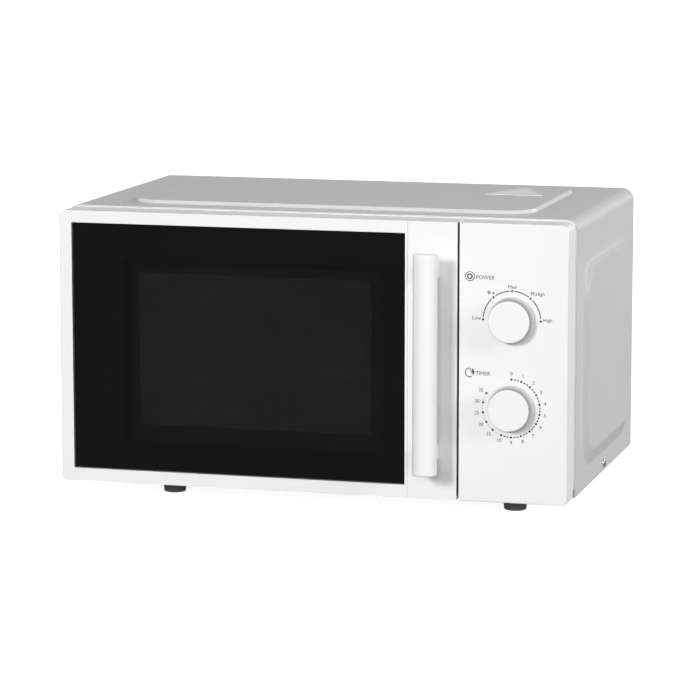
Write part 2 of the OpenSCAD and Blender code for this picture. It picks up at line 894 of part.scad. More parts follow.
module bell_hammer() color("silver") in_place() {
    difference() {
        union() {
            rod_y(hammer_pivot.x, hammer_pivot.y, hammer_y[0], hammer_y[1], 3.2);
            block([hammer_pivot.x - 1, hammer_y[0] + 0.5, hammer_head_z],
                [hammer_pivot.x + 1, hammer_y[1] - 0.5, hammer_pivot.y - 2]);
            rod_y(hammer_pivot.x, hammer_head_z, hammer_y[0], hammer_y[1], 3);
        }
        rod_y(hammer_pivot.x, hammer_pivot.y, hammer_y[0] - 1, hammer_y[1] + 1,
            hammer_pin_r + run);
    }
}

// ---- turntable ----

module turntable_motor() color("silver") in_place() {
    high = cavity_floor - sheet - 1.1;
    base_top = cover_low + 1 + sheet;
    difference() {
        union() {
            rod_z(cavity_x, spin_y, 6.5, high, 24.5);
            // bracket that stands on the base plate
            for (side = [-1, 1]) {
                block([cavity_x + side * 31 - 1, spin_y - 5, base_top],
                    [cavity_x + side * 31 + 1, spin_y + 5, high]);
            }
            block([cavity_x - 32, spin_y - 5, high - 1.2], [cavity_x + 32, spin_y + 5, high]);
        }
        rod_z(cavity_x, spin_y, 12, high + 1, coupler_shaft_r + run);
    }
}

// Three lobes that carry the tray
module coupler_lobes(grow) {
    for (k = [0 : 2]) {
        rotate(120 * k) translate([0, -3 - grow]) square([14 + grow, 6 + 2 * grow]);
    }
    circle(8 + grow);
}

module turntable_coupler() color("white") in_place() {
    translate([cavity_x, spin_y, 0]) {
        translate([0, 0, 12.3]) cylinder(r = coupler_shaft_r, h = 10.7);
        translate([0, 0, cavity_floor - 0.2]) cylinder(r = 7, h = tray_low - 6 - cavity_floor);
        translate([0, 0, tray_low - 7]) linear_extrude(6.6) coupler_lobes(0);
    }
}

module roller_ring() color("gainsboro") in_place() {
    translate([cavity_x, spin_y, 0]) {
        difference() {
            translate([0, 0, roller_z - 3]) cylinder(r = roller_track - 7, h = 6);
            translate([0, 0, roller_z - 4]) cylinder(r = roller_track - 13, h = 8);
        }
        for (k = [0 : 2]) {
            rotate(120 * k) {
                rod_x(0, roller_z, roller_track - 8, roller_track + 6, axle_r);
                rod_x(0, roller_z, roller_track + 4.4, roller_track + 6, 3.4);
            }
        }
    }
}

// Roller number k on its stub axle
module roller(k) {
    translate([cavity_x, spin_y, 0]) rotate(120 * k)
        difference() {
            rod_x(0, roller_z, roller_track - roller_w / 2, roller_track + roller_w / 2,
                roller_r);
            rod_x(0, roller_z, roller_track - roller_w, roller_track + roller_w,
                axle_r + run);
        }
}

module roller_1() color("white") in_place() roller(0);

module roller_2() color("white") in_place() roller(1);

module roller_3() color("white") in_place() roller(2);

module glass_tray() color("lightcyan", 0.4) in_place() {
    translate([cavity_x, spin_y, tray_low]) {
        rotate_extrude($fn = 96)
            polygon([[0, 0], [tray_r - 14, 0], [tray_r - 5, 3], [tray_r, 10], [tray_r, 12],
                [tray_r - 2.5, 12], [tray_r - 7.5, 6.5], [tray_r - 15, 4], [0, 4]]);
        // ring with three notches over the coupler's lobes
        translate([0, 0, -4])
            linear_extrude(4 + eps)
                difference() {
                    circle(19);
                    coupler_lobes(0.4);
                }
    }
}

// ---- high-voltage parts ----

module magnetron_yoke() color("silver") in_place() {
    x0 = mag_plate_x;
    difference() {
        union() {
            block([x0, mag_y - 46, mag_z - 38], [x0 + 2, mag_y + 46, mag_z + 38]);
            block([x0 + 2, mag_y - 40, mag_z - 38], [x0 + 66, mag_y + 40, mag_z + 38]);
        }
        block([x0 + 3.6, mag_y - 41, mag_z - 36], [x0 + 64, mag_y + 41, mag_z + 36]);
        rod_x(mag_y, mag_z, x0 - 1, x0 + 5, 9);
        rod_x(mag_y, mag_z, x0 + 60, x0 + 70, 12);
    }
    // the two ring magnets
    for (x = [x0 + 3.6, x0 + 51]) {
        difference() {
            rod_x(mag_y, mag_z, x, x + 13, 27);
            rod_x(mag_y, mag_z, x - 1, x + 14, 10);
        }
    }
}

module magnetron_fins() color("gainsboro") in_place() {
    x0 = mag_plate_x + 17.2;
    rod_x(mag_y, mag_z, x0, x0 + 33, 19);
    for (k = [0 : 8]) {
        block([x0 + 1 + 3.8 * k, mag_y - 38, mag_z - 35.5],
            [x0 + 1.6 + 3.8 * k, mag_y + 38, mag_z + 35.5]);
    }
}

module magnetron_antenna() color("silver") in_place() {
    rod_x(mag_y, mag_z, mag_plate_x - 22, mag_plate_x - 8, 7.5);
    rod_x(mag_y, mag_z, mag_plate_x - 8, mag_plate_x + 17.2, 8.6);
}

module magnetron_filter_box() color("silver") in_place() {
    x0 = mag_plate_x + 66;
    difference() {
        block([x0, mag_y - 32, mag_z - 26], [x0 + 17, mag_y + 32, mag_z + 26]);
        block([x0 - 1, mag_y - 31, mag_z - 25], [x0 + 16, mag_y + 31, mag_z + 25]);
    }
    // connector block and its two blades
    block([x0 + 4, mag_y - 42, mag_z - 12], [x0 + 14, mag_y - 32, mag_z + 12]);
    for (z = [mag_z - 6, mag_z + 6]) {
        block([x0 + 6, mag_y - 50, z - 0.4], [x0 + 12, mag_y - 42, z + 0.4]);
    }
}

core_lo = [116, 78, 3.05];
core_hi = [206, 134, 78];

module transformer_core() color("slategray") in_place() {
    mid_x = (core_lo.x + core_hi.x) / 2;
    difference() {
        union() {
            block(core_lo, core_hi);
            block([core_lo.x - 8, core_lo.y + 6, core_lo.z], [core_hi.x + 8, core_hi.y - 6,
                core_lo.z + 3]);
        }
        for (side = [-1, 1]) {
            block([mid_x + side * 25 - 8, core_lo.y - 1, 18],
                [mid_x + side * 25 + 8, core_hi.y + 1, 64]);
        }
        for (x = [core_lo.x - 4, core_hi.x + 4]) {
            rod_z(x, (core_lo.y + core_hi.y) / 2, 0, 10, 2.2);
        }
    }
    // weld beads across the laminations
    for (x = [core_lo.x + 12, core_hi.x - 12]) {
        rod_y(x, core_hi.z, core_lo.y, core_hi.y, 1);
    }
}

module transformer_windings() color("chocolate") in_place() {
    mid_x = (core_lo.x + core_hi.x) / 2;
    for (z = [[18.4, 38], [43, 63.6]]) {
        difference() {
            block([mid_x - 32.6, core_lo.y - 15, z[0]], [mid_x + 32.6, core_hi.y + 15, z[1]]);
            block([mid_x - 17, core_lo.y, z[0] - 1], [mid_x + 17, core_hi.y, z[1] + 1]);
        }
    }
    // terminal blades
    for (x = [mid_x - 12, mid_x + 12]) {
        block([x - 3, core_lo.y - 15, 63.6], [x + 3, core_lo.y - 14.2, 72]);
    }
}

cap_x = [128, 178];
cap_y = [168, 252];
cap_z = [6, 38];
clamp_y = [201, 219];

// Oval can outline, drawn across x and z and shrunk by t
module can_outline(t) {
    r = (cap_z[1] - cap_z[0]) / 2 - t;
    mid_z = (cap_z[0] + cap_z[1]) / 2;
    translate([cap_x[0] + r + t, mid_z - r])
        square([cap_x[1] - cap_x[0] - 2 * r - 2 * t, 2 * r]);
    for (x = [cap_x[0] + r + t, cap_x[1] - r - t]) {
        translate([x, mid_z]) circle(r);
    }
}

module capacitor() color("silver") in_place() {
    upright(cap_y[0], cap_y[1]) can_outline(1);
    upright(cap_y[0] - 2, cap_y[0]) can_outline(0.2);
    for (x = [142, 164]) {
        rod_y(x, 22, cap_y[0] - 8, cap_y[0] - 2, 4);
        block([x - 3, cap_y[0] - 16, 21.6], [x + 3, cap_y[0] - 8, 22.4]);
    }
}

module capacitor_clamp() color("silver") in_place() {
    difference() {
        upright(clamp_y[0], clamp_y[1]) can_outline(0);
        upright(clamp_y[0] - 1, clamp_y[1] + 1) can_outline(1);
    }
    difference() {
        block([cap_x[1] - 2, clamp_y[0], 3.05], [cap_x[1] + 16, clamp_y[1], 4.2]);
        rod_z(cap_x[1] + 9, (clamp_y[0] + clamp_y[1]) / 2, 0, 6, 2.2);
    }
    block([cap_x[1] - 0.9, clamp_y[0], 3.05], [cap_x[1], clamp_y[1], 22]);
}

diode_y = 178;
diode_z = 50;

module hv_diode() color("black") in_place() {
    rod_x(diode_y, diode_z, 188, 206, 4);
    rod_x(diode_y, diode_z, 180, 210, 0.8);
    block([210, diode_y - 4, 3.05], [211, diode_y + 4, diode_z + 4]);
}

module fan_shroud() color("white") in_place() {
    half = 53;
    depth = [252, cover_back - sheet];
    difference() {
        block([fan_x - half, depth[0], fan_z - half], [fan_x + half, depth[1], fan_z + half]);
        rod_y(fan_x, fan_z, depth[0] - 1, depth[1] + 1, fan_r + 3);
    }
    // arms that hold the motor
    for (side = [0, 1]) {
        translate([fan_x, 0, fan_z]) mirror([side, 0, 0]) {
            block([31, 232, -4], [34, depth[0], 4]);
            block([31, depth[0] - 3, -4], [half, depth[0], 4]);
        }
    }
}

module fan_motor() color("dimgray") in_place() {
    difference() {
        union() {
            block([fan_x - 31, 232, fan_z - 22], [fan_x + 31, 246, fan_z + 22]);
            rod_y(fan_x, fan_z, 226, 252, 9);
        }
        rod_y(fan_x, fan_z, 228, 253, 2 + run);
    }
    // coil below the stator
    rod_x(239, fan_z - 30, fan_x - 15, fan_x + 15, 10);
}

module fan_blade() color("white") in_place() {
    hub = [256, 270];
    rod_y(fan_x, fan_z, 229, hub[0] + 4, 2);
    rod_y(fan_x, fan_z, hub[0], hub[1], 11);
    for (k = [0 : 4]) {
        translate([fan_x, (hub[0] + hub[1]) / 2, fan_z]) rotate([0, 72 * k, 0])
            translate([9, 0, 0]) rotate([32, 0, 0])
                translate([0, -0.8, -11]) cube([fan_r - 11, 1.6, 22]);
    }
}

module air_duct() color("white") in_place() {
    difference() {
        block([cavity_wall_r, 220, 142], [cavity_wall_r + 12, 250, 172]);
        block([cavity_wall_r - 1, 222, 144], [cavity_wall_r + 10, 251, 170]);
    }
}

module thermal_cutouts() color("black") in_place() {
    rod_z(mag_plate_x + 34, mag_y, mag_z + 38, mag_z + 44, 8);
    for (dx = [-4, 4]) {
        block([mag_plate_x + 34 + dx - 0.4, mag_y - 3, mag_z + 44], [mag_plate_x + 34 + dx + 0.4,
            mag_y + 3, mag_z + 52]);
    }
    rod_z(50, 110, cavity_ceiling + sheet, cavity_ceiling + sheet + 6, 8);
    for (dx = [-4, 4]) {
        block([50 + dx - 0.4, 107, cavity_ceiling + sheet + 6], [50 + dx + 0.4, 113,
            cavity_ceiling + sheet + 13]);
    }
}

module line_filter_board() color("darkgreen") in_place() {
    z0 = fan_z + 53;
    block([122, 236, z0 + 5], [206, 276, z0 + 6.6]);
    for (x = [127, 201], y = [258, 271]) {
        rod_z(x, y, z0, z0 + 5, 3);
    }
    // choke, capacitor and fuse
    rod_x(249, z0 + 13.5, 132, 152, 7);
    block([160, 242, z0 + 6.6], [178, 256, z0 + 20]);
    rod_x(266, z0 + 10, 136, 160, 2.6);
    for (x = [136, 155]) {
        block([x, 262, z0 + 6.6], [x + 5, 270, z0 + 10]);
    }
}

outer_cover();
back_panel();
base_plate();
feet();
cover_screws();
caution_label();
cord_gland();
front_plate();
cavity();
waveguide();
waveguide_cover();
oven_lamp();
lamp_holder();
hinge_upper();
hinge_lower();
door_frame();
door_glass();
door_handle_panel();
door_handle();
handle_screws();
door_screen();
choke_cover();
inner_film();
door_latch();
latch_spring();
latch_board();
microswitches();
plunger_upper();
plunger_lower();
control_panel();
power_knob();
power_shaft();
timer_knob();
timer_shaft();
timer_case();
timer_motor();
timer_bell();
bell_hammer();
turntable_motor();
turntable_coupler();
roller_ring();
roller_1();
roller_2();
roller_3();
glass_tray();
magnetron_yoke();
magnetron_fins();
magnetron_antenna();
magnetron_filter_box();
transformer_core();
transformer_windings();
capacitor();
capacitor_clamp();
hv_diode();
fan_shroud();
fan_motor();
fan_blade();
air_duct();
thermal_cutouts();
line_filter_board();
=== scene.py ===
"""Looks of a table-top microwave oven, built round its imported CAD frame.

Shapes are drawn in millimetres in the cabinet frame: x across from the middle, y back from the
front face, z up from the door's lower edge. row() moves a point to the row frame, in metres.
"""

import json
import math

import bmesh
import bpy
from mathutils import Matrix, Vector
from mathutils.geometry import tessellate_polygon


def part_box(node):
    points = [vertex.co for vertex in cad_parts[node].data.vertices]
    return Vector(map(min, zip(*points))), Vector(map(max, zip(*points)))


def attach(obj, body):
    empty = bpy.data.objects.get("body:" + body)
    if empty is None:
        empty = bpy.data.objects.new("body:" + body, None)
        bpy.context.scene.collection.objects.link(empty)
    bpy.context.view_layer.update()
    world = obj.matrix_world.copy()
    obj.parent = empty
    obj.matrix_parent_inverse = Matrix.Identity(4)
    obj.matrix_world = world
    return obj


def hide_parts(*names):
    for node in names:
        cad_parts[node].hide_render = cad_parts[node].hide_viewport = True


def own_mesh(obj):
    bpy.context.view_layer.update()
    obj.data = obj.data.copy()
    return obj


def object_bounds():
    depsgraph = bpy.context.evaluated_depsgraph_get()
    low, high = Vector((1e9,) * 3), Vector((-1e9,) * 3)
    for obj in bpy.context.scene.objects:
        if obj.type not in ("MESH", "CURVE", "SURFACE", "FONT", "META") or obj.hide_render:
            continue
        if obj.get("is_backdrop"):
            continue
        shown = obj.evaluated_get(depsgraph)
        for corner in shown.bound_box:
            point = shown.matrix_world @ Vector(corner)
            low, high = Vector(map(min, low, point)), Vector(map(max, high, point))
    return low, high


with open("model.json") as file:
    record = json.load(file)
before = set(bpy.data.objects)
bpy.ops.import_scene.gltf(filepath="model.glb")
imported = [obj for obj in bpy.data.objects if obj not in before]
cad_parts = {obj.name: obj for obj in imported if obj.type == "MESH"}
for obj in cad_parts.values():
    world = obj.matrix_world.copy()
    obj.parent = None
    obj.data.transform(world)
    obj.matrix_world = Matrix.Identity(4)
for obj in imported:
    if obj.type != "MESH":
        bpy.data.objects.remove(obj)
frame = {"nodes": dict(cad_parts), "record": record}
cad_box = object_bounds()

MM = 0.001
door_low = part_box("door_frame")[0]
ORIGIN = Vector((0, door_low.y, door_low.z))


def row(p):
    """A point in millimetres in the cabinet frame, as metres in the row frame."""
    return ORIGIN + Vector(p) * MM


def box(node):
    """Lowest and highest corner of a CAD node, in millimetres in the cabinet frame."""
    low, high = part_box(node)
    return (low - ORIGIN) / MM, (high - ORIGIN) / MM


# ---- flat outlines ----

def arc(cx, cy, r, start, stop, n):
    """n + 1 points on an arc, in degrees anticlockwise from the first axis."""
    turns = [math.radians(start + (stop - start) * k / n) for k in range(n + 1)]
    return [(cx + r * math.cos(t), cy + r * math.sin(t)) for t in turns]


def rect(x0, y0, x1, y1, r=0.0, n=8):
    """Rectangle, anticlockwise from the lower left, with n steps round each corner of radius r."""
    corners = ((x0, y0, 180, 1, 1), (x1, y0, 270, -1, 1), (x1, y1, 0, -1, -1), (x0, y1, 90, 1, -1))
    points = []
    for x, y, start, sx, sy in corners:
        if r <= 0:
            points.append((x, y))
        else:
            points += arc(x + sx * r, y + sy * r, r, start, start + 90, n)
    return points


def circle(cx, cy, r, n=32):
    return arc(cx, cy, r, 0, 360, n)[:-1]


def hole(loop):
    """The same outline the other way round, for a hole."""
    return loop[::-1]


def offset(loop, d):
    """Moves each point of a closed outline to its left by d, with mitred corners."""
    if not d:
        return list(loop)
    out, n = [], len(loop)
    for k in range(n):
        a, b, c = (Vector(loop[(k + j) % n]) for j in (-1, 0, 1))
        u, v = (b - a).normalized(), (c - b).normalized()
        nu, nv = Vector((-u.y, u.x)), Vector((-v.y, v.x))
        m = (nu + nv) / max(1 + nu.dot(nv), 0.3)
        out.append(tuple(b + m * d))
    return out


def edge(start, depth, front_r, back_r, n):
    """(inset, depth) steps over a slab's edge: round at the front and back, straight between."""
    steps = []
    if front_r:
        steps += [(front_r * (1 - math.sin(t)), start + front_r * (1 - math.cos(t)))
                  for t in (math.pi / 2 * k / n for k in range(n + 1))]
    else:
        steps.append((0.0, start))
    if back_r:
        steps += [(back_r * (1 - math.cos(t)), depth - back_r * (1 - math.sin(t)))
                  for t in (math.pi / 2 * k / n for k in range(n + 1))]
    else:
        steps.append((0.0, depth))
    return steps


def slope(width, height, r, n=4):
    """(inset, height) steps up a pressed step: a straight slope with a round foot and crown."""
    tilt = math.atan2(height, width)
    reach = r * math.tan(tilt / 2)
    steps = []
    for k in range(n + 1):
        t = tilt * k / n
        steps.append((r * math.sin(t) - reach, r * (1 - math.cos(t))))
    for k in range(n + 1):
        t = tilt * (1 - k / n)
        steps.append((width + reach - r * math.sin(t), height - r * (1 - math.cos(t))))
    return steps


# ---- ways to stand an outline up ----

def front(u, v, d):
    return (u, d, v)


def plan(u, v, d):
    return (u, v, d)


def side(x, way):
    """Outlines in y and z, with depth d measured outward from the plane x."""
    return lambda u, v, d: (x + way * d, u, v)


def turned(centre, axis):
    """A lathe's frame: radius and turn round an axis through centre, height along it."""
    along = Vector(axis).normalized()
    first = along.orthogonal().normalized()
    second = along.cross(first)

    def at(r, t, h):
        return Vector(centre) + along * h + (first * math.cos(t) + second * math.sin(t)) * r

    return at


class Shape:
    """Points and faces in millimetres, made into a mesh by piece()."""

    def __init__(self):
        self.verts, self.faces = [], []

    def ring(self, points):
        """Adds points and gives their numbers."""
        base = len(self.verts)
        self.verts += [tuple(p) for p in points]
        return list(range(base, len(self.verts)))

    def bridge(self, a, b, closed=True):
        """Quads between two rings, or two open lines, of the same length."""
        n = len(a)
        for k in range(n if closed else n - 1):
            j = (k + 1) % n
            self.faces.append((a[k], a[j], b[j], b[k]))

    def fill(self, *rings, flip=False):
        """Flat face inside the first ring and outside the others."""
        flat = [i for ring in rings for i in ring]
        for tri in tessellate_polygon([[Vector(self.verts[i]) for i in ring] for ring in rings]):
            face = tuple(flat[i] for i in tri)
            self.faces.append(face[::-1] if flip else face)

    def slab(self, loops, steps, place=front, caps=(True, True)):
        """Solid between the first and last step; the first loop is the outline, the rest holes."""
        stacks = [[self.ring([place(u, v, d) for u, v in offset(loop, inset)])
                   for inset, d in steps] for loop in loops]
        for stack in stacks:
            for a, b in zip(stack, stack[1:]):
                self.bridge(a, b)
        if caps[0]:
            self.fill(*[stack[0] for stack in stacks])
        if caps[1]:
            self.fill(*[stack[-1] for stack in stacks], flip=True)
        return stacks

    def loft(self, loops, place):
        """Skin through (outline, depth) pairs of equal length; gives the first and last ring."""
        rings = [self.ring([place(u, v, d) for u, v in loop]) for loop, d in loops]
        for a, b in zip(rings, rings[1:]):
            self.bridge(a, b)
        return rings[0], rings[-1]

    def lathe(self, profile, centre, axis, n, closed=False):
        """Turns (radius, height) points round an axis in n steps; ends on the axis close by
        themselves, and closed joins the last point to the first."""
        at = turned(centre, axis)
        rings = []
        for r, h in profile:
            if r < 1e-6:
                rings.append(self.ring([at(0, 0, h)]))
            else:
                rings.append(self.ring([at(r, 2 * math.pi * k / n, h) for k in range(n)]))
        pairs = list(zip(rings, rings[1:])) + ([(rings[-1], rings[0])] if closed else [])
        for a, b in pairs:
            if len(a) == 1 and len(b) > 1:
                self.faces += [(a[0], b[(k + 1) % n], b[k]) for k in range(n)]
            elif len(b) == 1 and len(a) > 1:
                self.faces += [(a[k], a[(k + 1) % n], b[0]) for k in range(n)]
            elif len(a) > 1:
                self.bridge(a, b)


def finish_mesh(obj, angle=32):
    """Shades a mesh smooth, with edges sharper than the angle left hard."""
    for p in obj.data.polygons:
        p.use_smooth = True
    obj.data.set_sharp_from_angle(angle=math.radians(angle))
    obj.modifiers.new("even shading", "WEIGHTED_NORMAL").keep_sharp = True


def piece(name, shape, body, slot, replaces=(), skin=0.0, look=None, angle=32):
    """Makes the object, gives it its finish and body, and hides the CAD nodes that it stands for.
    skin is the sheet's thickness for an open shape, which grows inward."""
    mesh = bpy.data.meshes.new(name)
    mesh.from_pydata([row(v) for v in shape.verts], [], shape.faces)
    bm = bmesh.new()
    bm.from_mesh(mesh)
    bmesh.ops.remove_doubles(bm, verts=bm.verts, dist=2e-6)
    bmesh.ops.recalc_face_normals(bm, faces=bm.faces)
    bm.to_mesh(mesh)
    bm.free()
    obj = bpy.data.objects.new(name, mesh)
    bpy.context.scene.collection.objects.link(obj)
    mesh.materials.append(finish(look or slot))
    if skin:
        mod = obj.modifiers.new("sheet", "SOLIDIFY")
        mod.thickness, mod.offset = skin * MM, -1
        obj.modifiers.new("crisp rim", "EDGE_SPLIT").split_angle = math.radians(angle)
    finish_mesh(obj, angle)
    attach(obj, body)
    if replaces:
        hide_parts(*replaces)
    return obj


def soften(node, name, body, width, segments=3, angle=35, pick=None):
    """Copies a CAD node and rounds its edges by width. pick(middle, a, b), in millimetres, gives
    an edge's share of the width, or 0 to leave it sharp."""
    bm = bmesh.new()
    bm.from_mesh(frame["nodes"][node].data)
    bmesh.ops.remove_doubles(bm, verts=bm.verts, dist=1e-6)
    bmesh.ops.dissolve_limit(bm, angle_limit=math.radians(0.3), verts=bm.verts, edges=bm.edges)
    groups = {}
    for e in bm.edges:
        if len(e.link_faces) != 2 or e.calc_face_angle(0) < math.radians(angle):
            continue
        a, b = ((v.co - ORIGIN) / MM for v in e.verts)
        share = 1 if pick is None else pick((a + b) / 2, a, b)
        if share:
            groups.setdefault(share, []).append(e)
    for share in sorted(groups):
        live = [e for e in groups[share] if e.is_valid]
        bmesh.ops.bevel(bm, geom=live, offset=width * share * MM, segments=segments,
                        profile=0.5, affect="EDGES", clamp_overlap=False)
    mesh = bpy.data.meshes.new(name)
    bm.to_mesh(mesh)
    bm.free()
    obj = bpy.data.objects.new(name, mesh)
    bpy.context.scene.collection.objects.link(obj)
    mesh.materials.clear()
    mesh.materials.append(finish(node_slot[node]))
    finish_mesh(obj)
    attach(obj, body)
    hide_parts(node)
    return obj


# ---- finishes ----

node_slot = {part["node"]: part["material_slot"] for part in frame["record"]["subparts"]}
finishes = {}


class Nodes:
    """Short way to add and join the nodes of one material."""

    def __init__(self, name):
        self.material = bpy.data.materials.new(name)
        self.material.use_nodes = True
        self.tree = self.material.node_tree
        self.shader = self.tree.nodes["Principled BSDF"]
        self.place = self.add("TexCoord").outputs["Object"]

    def add(self, kind, inputs=(), **settings):
        node = self.tree.nodes.new("ShaderNode" + kind)
        for key, value in settings.items():
            setattr(node, key, value)
        for key, value in dict(inputs).items():
            if isinstance(value, bpy.types.NodeSocket):
                self.tree.links.new(value, node.inputs[key])
            else:
                node.inputs[key].default_value = value
        return node

    def noise(self, scale, detail, stretch=None):
        vector = self.place
        if stretch:
            vector = self.add("Mapping", {"Vector": self.place, "Scale": stretch}).outputs[0]
        return self.add("TexNoise",
                        {"Vector": vector, "Scale": scale, "Detail": detail}).outputs[0]

    def cells(self, scale):
        """A random colour for each cell."""
        return self.add("TexVoronoi", {"Vector": self.place, "Scale": scale}).outputs["Color"]

    def bands(self, scale, axis, distortion):
        inputs = {"Vector": self.place, "Scale": scale, "Distortion": distortion}
        return self.add("TexWave", inputs, bands_direction=axis).outputs[1]

    def span(self, value, low, high, start=0.3, stop=0.7):
        """Maps start..stop, by default where a noise mostly lies, to low..high."""
        return self.add("MapRange", {"Value": value, "From Min": start, "From Max": stop,
                                     "To Min": low, "To Max": high}).outputs[0]

    def mix(self, value, a, b):
        node = self.add("Mix", {0: value, 6: (*a, 1), 7: (*b, 1)}, data_type="RGBA")
        return node.outputs[2]

    def wire(self, socket, value):
        self.tree.links.new(value, self.shader.inputs[socket])

    def tint(self, value, color, down, up):
        """Base colour that drifts with a noise between a share darker and a share lighter."""
        self.wire("Base Color",
                  self.mix(self.span(value, 0, 1), shade(color, -down), shade(color, up)))

    def bump(self, height, strength, distance):
        self.wire("Normal", self.add("Bump", {"Height": height, "Strength": strength,
                                              "Distance": distance * MM}).outputs[0])

    def set(self, **values):
        for key, value in values.items():
            self.shader.inputs[key.replace("_", " ")].default_value = value


def shade(color, amount):
    return tuple(min(max(c * (1 + amount), 0), 1) for c in color)


def moulded(n, color, rough, mottle, grain, grain_scale, spec=0.5):
    """Moulded plastic or paint: slow drift of tone, fine grain in the gloss and the surface."""
    n.tint(n.noise(14, 3), color, mottle, mottle)
    n.wire("Roughness", n.span(n.noise(grain_scale / 6, 2), rough - 0.05, rough + 0.05))
    n.bump(n.noise(grain_scale, 2), grain, 0.02)
    n.set(Specular_IOR_Level=spec)


def sheet_metal(n, color, rough, brush, grain=0.25):
    """Bare metal with a rolling direction along the axis that brush stretches."""
    streak = n.noise(900, 3, brush)
    n.tint(streak, color, 0.12, 0.06)
    n.wire("Roughness", n.span(n.noise(60, 3), rough - 0.08, rough + 0.1))
    n.bump(streak, grain, 0.01)
    n.set(Metallic=1.0)


def clear(n, color, rough, ior):
    """Clear glass with a faint drift in its tint and polish."""
    n.tint(n.noise(9, 2), color, 0.04, 0.04)
    n.wire("Roughness", n.span(n.noise(40, 2), rough, rough + 0.02))
    n.set(Transmission_Weight=1.0, IOR=ior)


WHITE = (0.88, 0.88, 0.88)


def white_moulding(n):
    moulded(n, WHITE, 0.40, 0.008, 0.05, 3000)


def galvanised(n):
    """Zinc-coated sheet with faint crystal patches."""
    tone = n.add("SeparateColor", {0: n.cells(170)}).outputs[0]
    n.wire("Base Color", n.mix(tone, (0.66, 0.67, 0.68), (0.73, 0.735, 0.74)))
    n.wire("Roughness", n.span(tone, 0.36, 0.44, 0, 1))
    n.bump(n.noise(1500, 2), 0.15, 0.01)
    n.set(Metallic=0.5)


def laminations(n):
    """Stacked dark plates, seen on edge."""
    layer = n.bands(2200, "Y", 0.6)
    n.wire("Base Color", n.mix(layer, (0.035, 0.036, 0.04), (0.15, 0.15, 0.155)))
    n.wire("Roughness", n.span(n.noise(300, 3), 0.35, 0.6))
    n.bump(layer, 0.6, 0.12)
    n.set(Metallic=0.6)


def windings(n):
    """Rows of lacquered copper wire."""
    turn = n.bands(1100, "Z", 0.3)
    n.wire("Base Color", n.mix(turn, (0.16, 0.045, 0.012), (0.55, 0.20, 0.07)))
    n.wire("Roughness", n.span(n.noise(200, 2), 0.25, 0.4))
    n.bump(turn, 0.7, 0.3)
    n.set(Metallic=0.75, Coat_Weight=0.4)


def board(n):
    """Green circuit board with lighter tracks."""
    tracks = {"Vector": n.place, "Scale": 190.0, "Mortar Size": 0.035,
              "Color1": (0.02, 0.10, 0.035, 1), "Color2": (0.025, 0.13, 0.045, 1),
              "Mortar": (0.06, 0.24, 0.08, 1)}
    n.wire("Base Color", n.add("TexBrick", tracks).outputs[0])
    n.wire("Roughness", n.span(n.noise(500, 2), 0.3, 0.5))
    n.bump(n.noise(900, 2), 0.1, 0.02)


def mica_sheet(n):
    """Pressed mica flakes."""
    flake = n.cells(260)
    tone = n.add("SeparateColor", {0: flake}).outputs[0]
    n.wire("Base Color", n.mix(tone, (0.42, 0.36, 0.25), (0.62, 0.55, 0.42)))
    n.wire("Roughness", n.span(tone, 0.3, 0.6, 0, 1))
    n.bump(flake, 0.2, 0.03)


def dial_moulding(n):
    """White moulding with painted shade on its flanks: the colour turns grey where the surface
    turns away from the dial's front.
    """
    white_moulding(n)
    normal = n.add("SeparateXYZ", {0: n.add("NewGeometry").outputs["Normal"]}).outputs[1]
    facing = n.add("Math", {0: normal}, operation="ABSOLUTE").outputs[0]
    share = n.span(facing, 0, 1, 0.04, 0.8)
    drift = n.span(n.noise(14, 3), -0.02, 0.02)
    share = n.add("Math", {0: share, 1: drift}, operation="ADD").outputs[0]
    # painted shade: grey where the normal turns away from the front, white where it faces it
    n.wire("Base Color", n.mix(share, (0.30, 0.30, 0.30), WHITE))


def tinted(n, color, alpha, rough, spec):
    """Dark pane or film that lets part of the light straight through."""
    n.tint(n.noise(9, 2), color, 0.06, 0.06)
    n.wire("Roughness", n.span(n.noise(40, 2), rough, rough + 0.02))
    n.set(Alpha=alpha, Specular_IOR_Level=spec)


